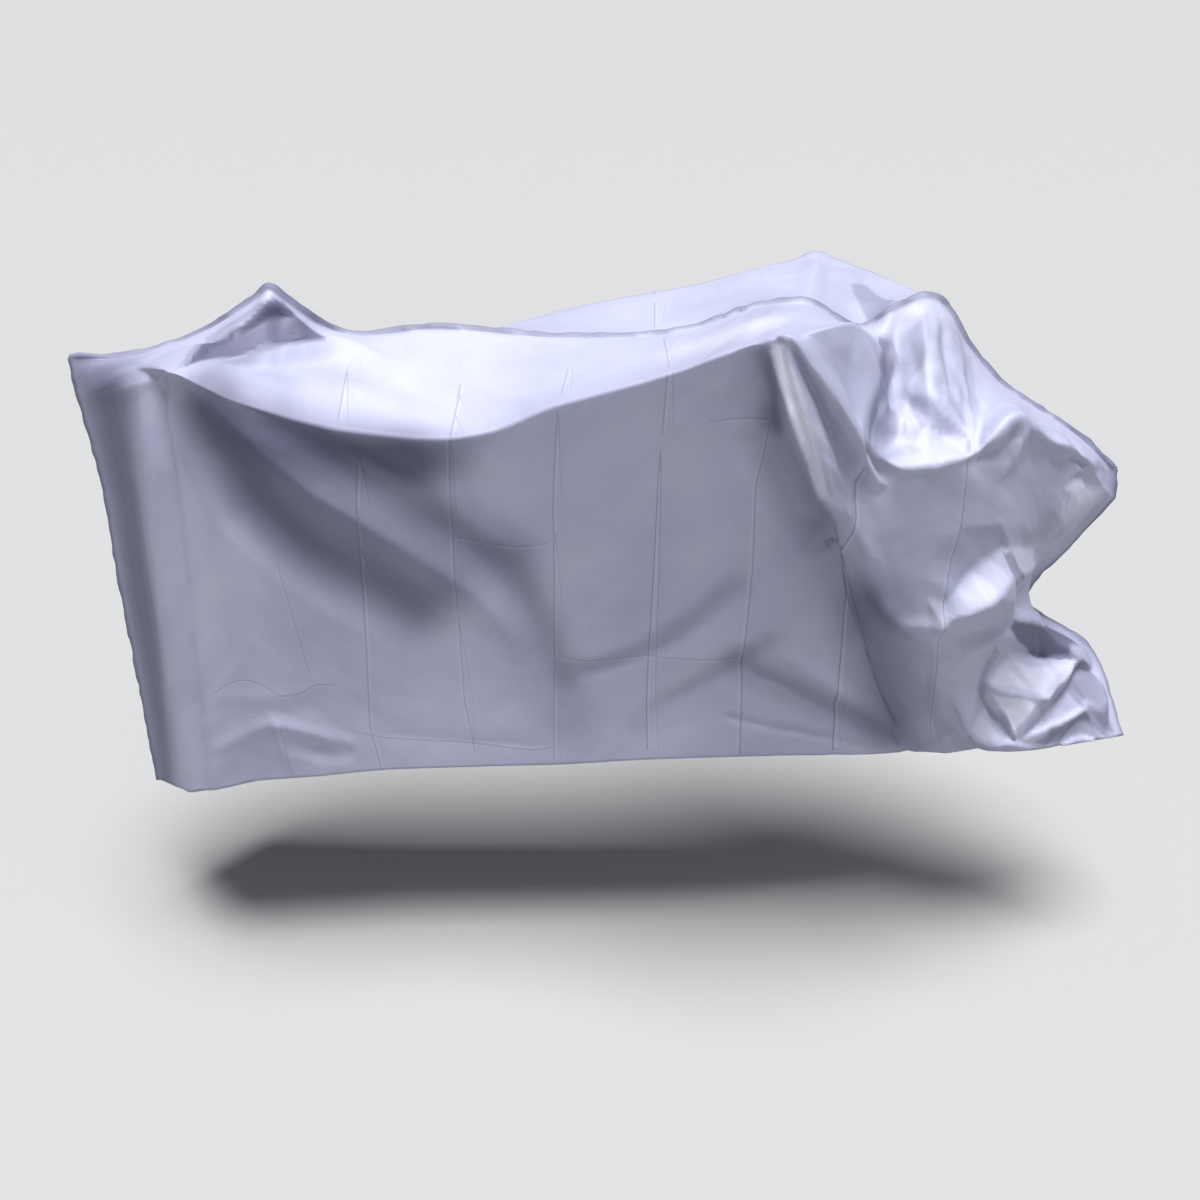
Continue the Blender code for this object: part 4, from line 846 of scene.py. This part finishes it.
def draped(panel, side):
    """The finished panel surface, its places on the flat film, and what the film's look reads there."""
    surface = panel_surface(panel.ribs)
    flat = flat_places(surface)
    normal = outward(surface, side)
    lift = sum((fold_height(surface, fold) for fold in panel.folds), np.zeros(surface.shape[:2]))
    lift += sum((crease_height(surface, crease) for crease in panel.creases), 0)
    lift += sum((zone_height(surface, flat, zone) for zone in panel.zones), 0)
    amount = patch_heights(surface, panel.patches)
    for number, crumple in enumerate(CRUMPLES):
        seed = CRUMPLE_SEED + CRUMPLE_SEED_STEP * number + side
        lift += crumple_field(flat, crumple.cell * MM, seed) * amount * crumple.share
    hold = np.clip(flat[..., 1] / (HOLD_REACH * MM), 0, 1)
    columns = np.arange(lift.shape[1])
    ends = np.minimum(columns, columns[::-1]) / END_COLUMNS
    lift *= hold * np.clip(ends, 0, 1)
    upright, upright_strength = crease_marks(surface, flat, panel.creases, UPRIGHT)
    level, level_strength = crease_marks(surface, flat, panel.creases, LEVEL)
    marks = {
        "upright": upright,
        "upright strength": upright_strength,
        "level": level,
        "level strength": level_strength,
        # Painted shade and painted light, from the tables and along the seam
        "shade": shade_depth(surface, panel.shades, panel.facets, flat),
    }
    return eased(surface + lift[..., None] * normal), flat, marks


def steady_noise(run, pitch, seed):
    """A smooth wander from -1 to 1 along a line, with a turn about every pitch."""
    draw = np.random.default_rng(seed)
    places = run / pitch
    values = draw.uniform(-1, 1, int(places[-1]) + 3)
    start = places.astype(int)
    part = places - start
    blend = part * part * (3 - 2 * part)
    return values[start] * (1 - blend) + values[start + 1] * blend


def fin_lines(surface, side):
    """The seam allowance's root and tip along the tail, the top and the nose."""
    seam = np.concatenate([surface[::-1, 0], surface[0, 1:-1], surface[:, -1]])
    run = np.gradient(seam, axis=0)
    away = unit(np.stack([-run[:, 2], np.zeros(len(seam)), run[:, 0]], axis=1))
    across = unit(np.cross(away, run))
    root = seam + across * side * (FILM_THICKNESS + SEAM_GAP / 2)
    length = knots_along(seam)
    wide_sway = steady_noise(length, FIN_SWAY_PITCH, FIN_SWAY_SEED)
    sway = (wide_sway + steady_noise(length, FIN_FLUTTER_PITCH, FIN_FLUTTER_SEED)) * FIN_SWAY
    rise = FIN_HEIGHT + steady_noise(length, FIN_RISE_PITCH, FIN_RISE_SEED) * FIN_SWAY
    tip = root + away * rise[:, None] + across * sway[:, None]
    return root, tip


def with_fin(surface, flat, marks, side):
    """Add the upturned seam allowance along tail, top and nose, set off from the other panel's."""
    rows, columns = surface.shape[:2]
    root, tip = fin_lines(surface, side)
    ear = rows - 1
    brow = ear + columns - 1
    grid = np.empty((rows + 1, columns + 2, 3))
    grid[1:, 1:-1] = surface
    for line, outer in ((root, 1), (tip, 0)):
        grid[1:, outer] = line[ear::-1]
        grid[1:, -1 - outer] = line[brow:]
        grid[outer, 1:-1] = line[ear:brow + 1]
    grid[0, 0] = tip[ear]
    grid[0, -1] = tip[brow]
    corner_reach = FIN_HEIGHT / math.sqrt(2)
    grid[1, 0] = root[ear] - (corner_reach, 0, 0)
    grid[0, 1] = root[ear] + (0, 0, corner_reach)
    grid[1, -1] = root[brow] + (corner_reach, 0, 0)
    grid[0, -2] = root[brow] + (0, 0, corner_reach)
    wide = np.pad(flat, ((1, 0), (1, 1), (0, 0)), mode="edge")
    wide[0, :, 1] -= FIN_HEIGHT
    wide[:, 0, 0] -= FIN_HEIGHT
    wide[:, -1, 0] += FIN_HEIGHT
    grown = {name: np.pad(values, ((1, 0), (1, 1)), mode="edge") for name, values in marks.items()}
    # The whole fin gets painted shade
    for fin in (grown["shade"][0], grown["shade"][:, 0], grown["shade"][:, -1]):
        fin[:] = FIN_SHADE
    return grid, wide, grown


def sheet_object(name, grid, flat, marks, side, material):
    """A sheet of film whose outer face is the grid of points."""
    rows, columns = grid.shape[:2]
    index = np.arange(rows * columns).reshape(rows, columns)
    corners = (index[:-1, :-1], index[1:, :-1], index[1:, 1:], index[:-1, 1:])
    quads = np.stack(corners, axis=-1).reshape(-1, 4)
    if side == FAR:
        quads = quads[:, ::-1]
    mesh = bpy.data.meshes.new(name)
    mesh.from_pydata((grid.reshape(-1, 3) - HELD_AT).tolist(), [], quads.tolist())
    mesh.shade_smooth()
    mesh.materials.append(material)
    places = mesh.uv_layers.new(name="flat film")
    places.data.foreach_set("uv", flat.reshape(-1, 2)[quads.ravel()].astype(np.float32).ravel())
    for label, values in marks.items():
        mark = mesh.attributes.new(label, "FLOAT", "POINT")
        mark.data.foreach_set("value", values.ravel().astype(np.float32))
    panel = bpy.data.objects.new(name, mesh)
    bpy.context.scene.collection.objects.link(panel)
    thicken = panel.modifiers.new("film thickness", "SOLIDIFY")
    thicken.thickness = FILM_THICKNESS
    thicken.offset = -1
    thicken.use_quality_normals = True
    return panel


class Nodes:
    """Adds and joins nodes in one tree."""

    def __init__(self, tree):
        self.tree = tree
        self.nodes = tree.nodes
        self.links = tree.links

    def add(self, kind, inputs=(), **settings):
        """A node of this kind, with its settings and its inputs: values, or outputs to link from."""
        node = self.nodes.new(kind)
        for key, value in settings.items():
            setattr(node, key, value)
        for key, value in dict(inputs).items():
            if isinstance(value, bpy.types.NodeSocket):
                self.links.new(value, node.inputs[key])
            else:
                node.inputs[key].default_value = value
        return node

    def mix(self, share, first, second):
        """A colour between two others."""
        node = self.add("ShaderNodeMix", {0: share, 6: first, 7: second}, data_type="RGBA")
        return node.outputs[2]

    def math(self, operation, first, second=0.5, third=0.5):
        """A number worked out from others."""
        return self.add("ShaderNodeMath", {0: first, 1: second, 2: third}, operation=operation).outputs[0]


def new_group(name, inputs, outputs):
    """An empty shader group with named inputs (kind, value) and outputs (kind)."""
    group = bpy.data.node_groups.new(name, "ShaderNodeTree")
    for label, (kind, value) in inputs.items():
        socket = group.interface.new_socket(label, in_out="INPUT", socket_type=kind)
        if value is not None:
            socket.default_value = value
    for label, kind in outputs.items():
        group.interface.new_socket(label, in_out="OUTPUT", socket_type=kind)
    tools = Nodes(group)
    return group, tools, tools.add("NodeGroupInput").outputs, tools.add("NodeGroupOutput").inputs


def film_relief_group():
    """The film's fine grain, its small wrinkles and its packing creases, as a height in millimetres."""
    group, tools, given, made = new_group(
        "film relief",
        {"Place": ("NodeSocketVector", None), "Grain": ("NodeSocketFloat", 900.0),
         "Wrinkle": ("NodeSocketFloat", 26.0), "Wrinkle height": ("NodeSocketFloat", 0.5),
         "Crease": ("NodeSocketFloat", 0.0)},
        {"Height": "NodeSocketFloat"},
    )
    grain = tools.add("ShaderNodeTexNoise", {"Vector": given["Place"], "Scale": given["Grain"],
                                             "Detail": 2.0, "Roughness": 0.5})
    bend = tools.add("ShaderNodeTexNoise", {"Vector": given["Place"], "Scale": given["Wrinkle"],
                                            "Detail": 4.0, "Roughness": 0.55, "Distortion": 0.6})
    ridge = tools.math("ABSOLUTE", tools.math("SUBTRACT", bend.outputs["Fac"], 0.5))
    ridge = tools.math("SUBTRACT", 1.0, tools.math("MULTIPLY", ridge, WRINKLE_STEEPNESS))
    height = tools.math("MULTIPLY_ADD", grain.outputs["Fac"], GRAIN_HEIGHT,
                        tools.math("MULTIPLY", ridge, given["Wrinkle height"]))
    height = tools.math("MULTIPLY_ADD", given["Crease"], CREASE_RELIEF, height)
    tools.links.new(height, made["Height"])
    return group


def crease_group():
    """A packing crease: a narrow groove and a raised lip, for relief, painted shade and a painted
    highlight.
    """
    group, tools, given, made = new_group(
        "packing crease",
        {"Aside": ("NodeSocketFloat", 0.0), "Strength": ("NodeSocketFloat", 0.0),
         "Groove width": ("NodeSocketFloat", 1.5), "Lip width": ("NodeSocketFloat", 2.4),
         "Lip place": ("NodeSocketFloat", 3.6), "Full strength": ("NodeSocketFloat", 3.0)},
        {"Groove": "NodeSocketFloat", "Lip": "NodeSocketFloat"},
    )
    amount = tools.math("DIVIDE", tools.math("ABSOLUTE", given["Strength"]), given["Full strength"])
    side = tools.math("SIGN", given["Strength"])
    for name, width, middle in (
        ("Groove", given["Groove width"], 0.0),
        ("Lip", given["Lip width"], tools.math("MULTIPLY", given["Lip place"], side)),
    ):
        away = tools.math("ABSOLUTE", tools.math("SUBTRACT", given["Aside"], middle))
        fade = tools.add("ShaderNodeMapRange", {"Value": away, "From Min": 0.0, "From Max": width,
                                                "To Min": 1.0, "To Max": 0.0},
                         interpolation_type="SMOOTHSTEP")
        tools.links.new(tools.math("MULTIPLY", fade.outputs[0], amount), made[name])
    return group


def film_tint_group():
    """The film's slow changes of tint and gloss, and its painted shade and light, also in its creases'
    lines.
    """
    group, tools, given, made = new_group(
        "film tint",
        {"Place": ("NodeSocketVector", None), "Light": ("NodeSocketColor", None),
         "Dark": ("NodeSocketColor", None), "Shade": ("NodeSocketFloat", 0.0),
         "Painted shade": ("NodeSocketColor", None), "Painted light": ("NodeSocketColor", None),
         "Groove": ("NodeSocketFloat", 0.0), "Lip": ("NodeSocketFloat", 0.0)},
        {"Color": "NodeSocketColor", "Roughness": "NodeSocketFloat"},
    )
    slow = tools.add("ShaderNodeTexNoise", {"Vector": given["Place"], "Scale": 5.5, "Detail": 6.0,
                                            "Roughness": 0.6})
    spread = tools.add("ShaderNodeMapRange", {"Value": slow.outputs["Fac"], "From Min": 0.32,
                                              "From Max": 0.68})
    colour = tools.mix(spread.outputs[0], given["Dark"], given["Light"])
    # Painted shade where the shade attribute is above 0, painted light where it is below 0
    colour = tools.mix(tools.math("MAXIMUM", given["Shade"], 0.0), colour, given["Painted shade"])
    colour = tools.mix(tools.math("MAXIMUM", tools.math("MULTIPLY", given["Shade"], -1.0), 0.0), colour,
                       given["Painted light"])
    # Painted shade in crease grooves and a painted highlight on their lips
    colour = tools.mix(tools.math("MULTIPLY", given["Groove"], GROOVE_PAINTED_SHADE), colour, given["Painted shade"])
    colour = tools.mix(tools.math("MULTIPLY", given["Lip"], LIP_PAINTED_HIGHLIGHT), colour, given["Painted light"])
    gloss = tools.add("ShaderNodeMapRange", {"Value": slow.outputs["Fac"], "From Min": 0.3, "From Max": 0.7,
                                             "To Min": FILM_ROUGHNESS[0], "To Max": FILM_ROUGHNESS[1]})
    tools.links.new(colour, made["Color"])
    tools.links.new(gloss.outputs[0], made["Roughness"])
    return group


def film_material(name, relief, crease, tint):
    """Silver-grey film with a satin sheen, fine grain and creases."""
    material = bpy.data.materials.new(name)
    material.use_nodes = True
    tools = Nodes(material.node_tree)
    shader = tools.nodes["Principled BSDF"]
    shader.inputs["Metallic"].default_value = FILM_METALLIC
    shader.inputs["IOR"].default_value = FILM_IOR
    place = tools.add("ShaderNodeUVMap", uv_map="flat film").outputs["UV"]
    lines = {}
    for way in (UPRIGHT, LEVEL):
        aside = tools.add("ShaderNodeAttribute", attribute_name=way).outputs["Fac"]
        strength = tools.add("ShaderNodeAttribute", attribute_name=way + " strength").outputs["Fac"]
        lines[way] = tools.add("ShaderNodeGroup", {"Aside": aside, "Strength": strength}, node_tree=crease)
    groove = tools.math("MAXIMUM", lines[UPRIGHT].outputs["Groove"], lines[LEVEL].outputs["Groove"])
    lip = tools.math("MAXIMUM", lines[UPRIGHT].outputs["Lip"], lines[LEVEL].outputs["Lip"])
    # The shade attribute carries the painted shade and painted light of the tables, the seam and the fin
    shade = tools.add("ShaderNodeAttribute", attribute_name="shade").outputs["Fac"]
    tinted = tools.add("ShaderNodeGroup", {
        "Place": place, "Shade": shade, "Groove": groove, "Lip": lip,
        "Light": FILM_LIGHT, "Dark": FILM_DARK, "Painted shade": FILM_PAINTED_SHADE, "Painted light": FILM_PAINTED_LIGHT,
    }, node_tree=tint)
    raised = tools.math("SUBTRACT", lip, groove)
    relieved = tools.add("ShaderNodeGroup", {"Place": place, "Crease": raised}, node_tree=relief)
    bump = tools.add("ShaderNodeBump", {"Strength": FILM_BUMP, "Distance": 1.0 * MM,
                                        "Height": relieved.outputs["Height"]})
    tools.links.new(tinted.outputs["Color"], shader.inputs["Base Color"])
    tools.links.new(tinted.outputs["Roughness"], shader.inputs["Roughness"])
    tools.links.new(bump.outputs["Normal"], shader.inputs["Normal"])
    return material


# The floor: half its width in metres, its colour, and how rough it is
FLOOR_REACH = 300.0
FLOOR_COLOUR = (0.31, 0.31, 0.31, 1)
FLOOR_ROUGHNESS = 0.8

# The camera: its lens and sensor in millimetres, where it stands, and how it turns in degrees
CAMERA_LENS = 38.634
CAMERA_SENSOR = 36
CAMERA_PLACE = (-0.139, -2.003, 1.628 + GROUND)
CAMERA_TURN = (63.316, -0.965, -1.465)

# One sun: the direction it shines from, its energy, and its angle across in degrees
Sun = namedtuple("Sun", "name towards energy angle")
SUNS = (
    Sun("overhead", (0.0, -0.12, 1.0), 6.6, 30),
    Sun("front", (0.35, -1.0, 0.8), 0.7, 70),
)
SURROUND_COLOUR = (0.78, 0.83, 1.0, 1)
SURROUND_STRENGTH = 0.2


def stage_material():
    """Plain pale floor."""
    material = bpy.data.materials.new("pale floor")
    material.use_nodes = True
    shader = material.node_tree.nodes["Principled BSDF"]
    shader.inputs["Base Color"].default_value = FLOOR_COLOUR
    shader.inputs["Roughness"].default_value = FLOOR_ROUGHNESS
    return material


def make_stage():
    """A wide pale floor, at the height of the ground under the cover."""
    mesh = bpy.data.meshes.new("floor")
    reach = FLOOR_REACH
    near_edge = [(-reach, -reach, GROUND), (reach, -reach, GROUND)]
    far_edge = [(reach, reach, GROUND), (-reach, reach, GROUND)]
    mesh.from_pydata(near_edge + far_edge, [], [(0, 1, 2, 3)])
    mesh.materials.append(stage_material())
    floor = bpy.data.objects.new("floor", mesh)
    bpy.context.scene.collection.objects.link(floor)


def make_camera():
    """The camera stands a little behind the cover's middle and looks down at its near side."""
    data = bpy.data.cameras.new("camera")
    data.sensor_width = CAMERA_SENSOR
    data.lens = CAMERA_LENS
    camera = bpy.data.objects.new("camera", data)
    camera.location = CAMERA_PLACE
    camera.rotation_euler = [math.radians(turn) for turn in CAMERA_TURN]
    bpy.context.scene.collection.objects.link(camera)
    bpy.context.scene.camera = camera


def sun_light(sun):
    """A wide soft light from the sun's direction."""
    data = bpy.data.lights.new(sun.name, "SUN")
    data.energy = sun.energy
    data.angle = math.radians(sun.angle)
    light = bpy.data.objects.new(sun.name, data)
    light.rotation_euler = Vector(sun.towards).to_track_quat("Z", "Y").to_euler()
    bpy.context.scene.collection.objects.link(light)


def make_lights():
    """A soft light from overhead, a weak one from in front, and an even bluish surround."""
    for sun in SUNS:
        sun_light(sun)
    world = bpy.data.worlds.new("surround")
    world.use_nodes = True
    background = world.node_tree.nodes["Background"]
    background.inputs["Color"].default_value = SURROUND_COLOUR
    background.inputs["Strength"].default_value = SURROUND_STRENGTH
    bpy.context.scene.world = world
    bpy.context.scene.view_settings.view_transform = "Standard"


Panel = namedtuple("Panel", "label ribs folds zones creases patches shades facets")
PANELS = {
    NEAR: Panel("near", NEAR_RIBS, NEAR_FOLDS, NEAR_ZONES, NEAR_CREASES, NEAR_PATCHES, NEAR_SHADES,
                NEAR_PAINTED_FACETS),
    FAR: Panel("far", FAR_RIBS, FAR_FOLDS, (), FAR_CREASES, FAR_PATCHES, FAR_SHADES, FAR_PAINTED_FACETS),
}


def make_panels():
    """Both panels of film, each standing for its solid."""
    relief = film_relief_group()
    crease = crease_group()
    tint = film_tint_group()
    for side, panel in PANELS.items():
        surface, flat, marks = draped(panel, side)
        grid, flat, marks = with_fin(surface, flat, marks, side)
        material = film_material(f"{panel.label} film", relief, crease, tint)
        film = sheet_object(f"{panel.label}_side_film", grid, flat, marks, side, material)
        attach(film, "root")
        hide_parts(f"{panel.label}_panel")


make_camera()
make_stage()
make_lights()
make_panels()
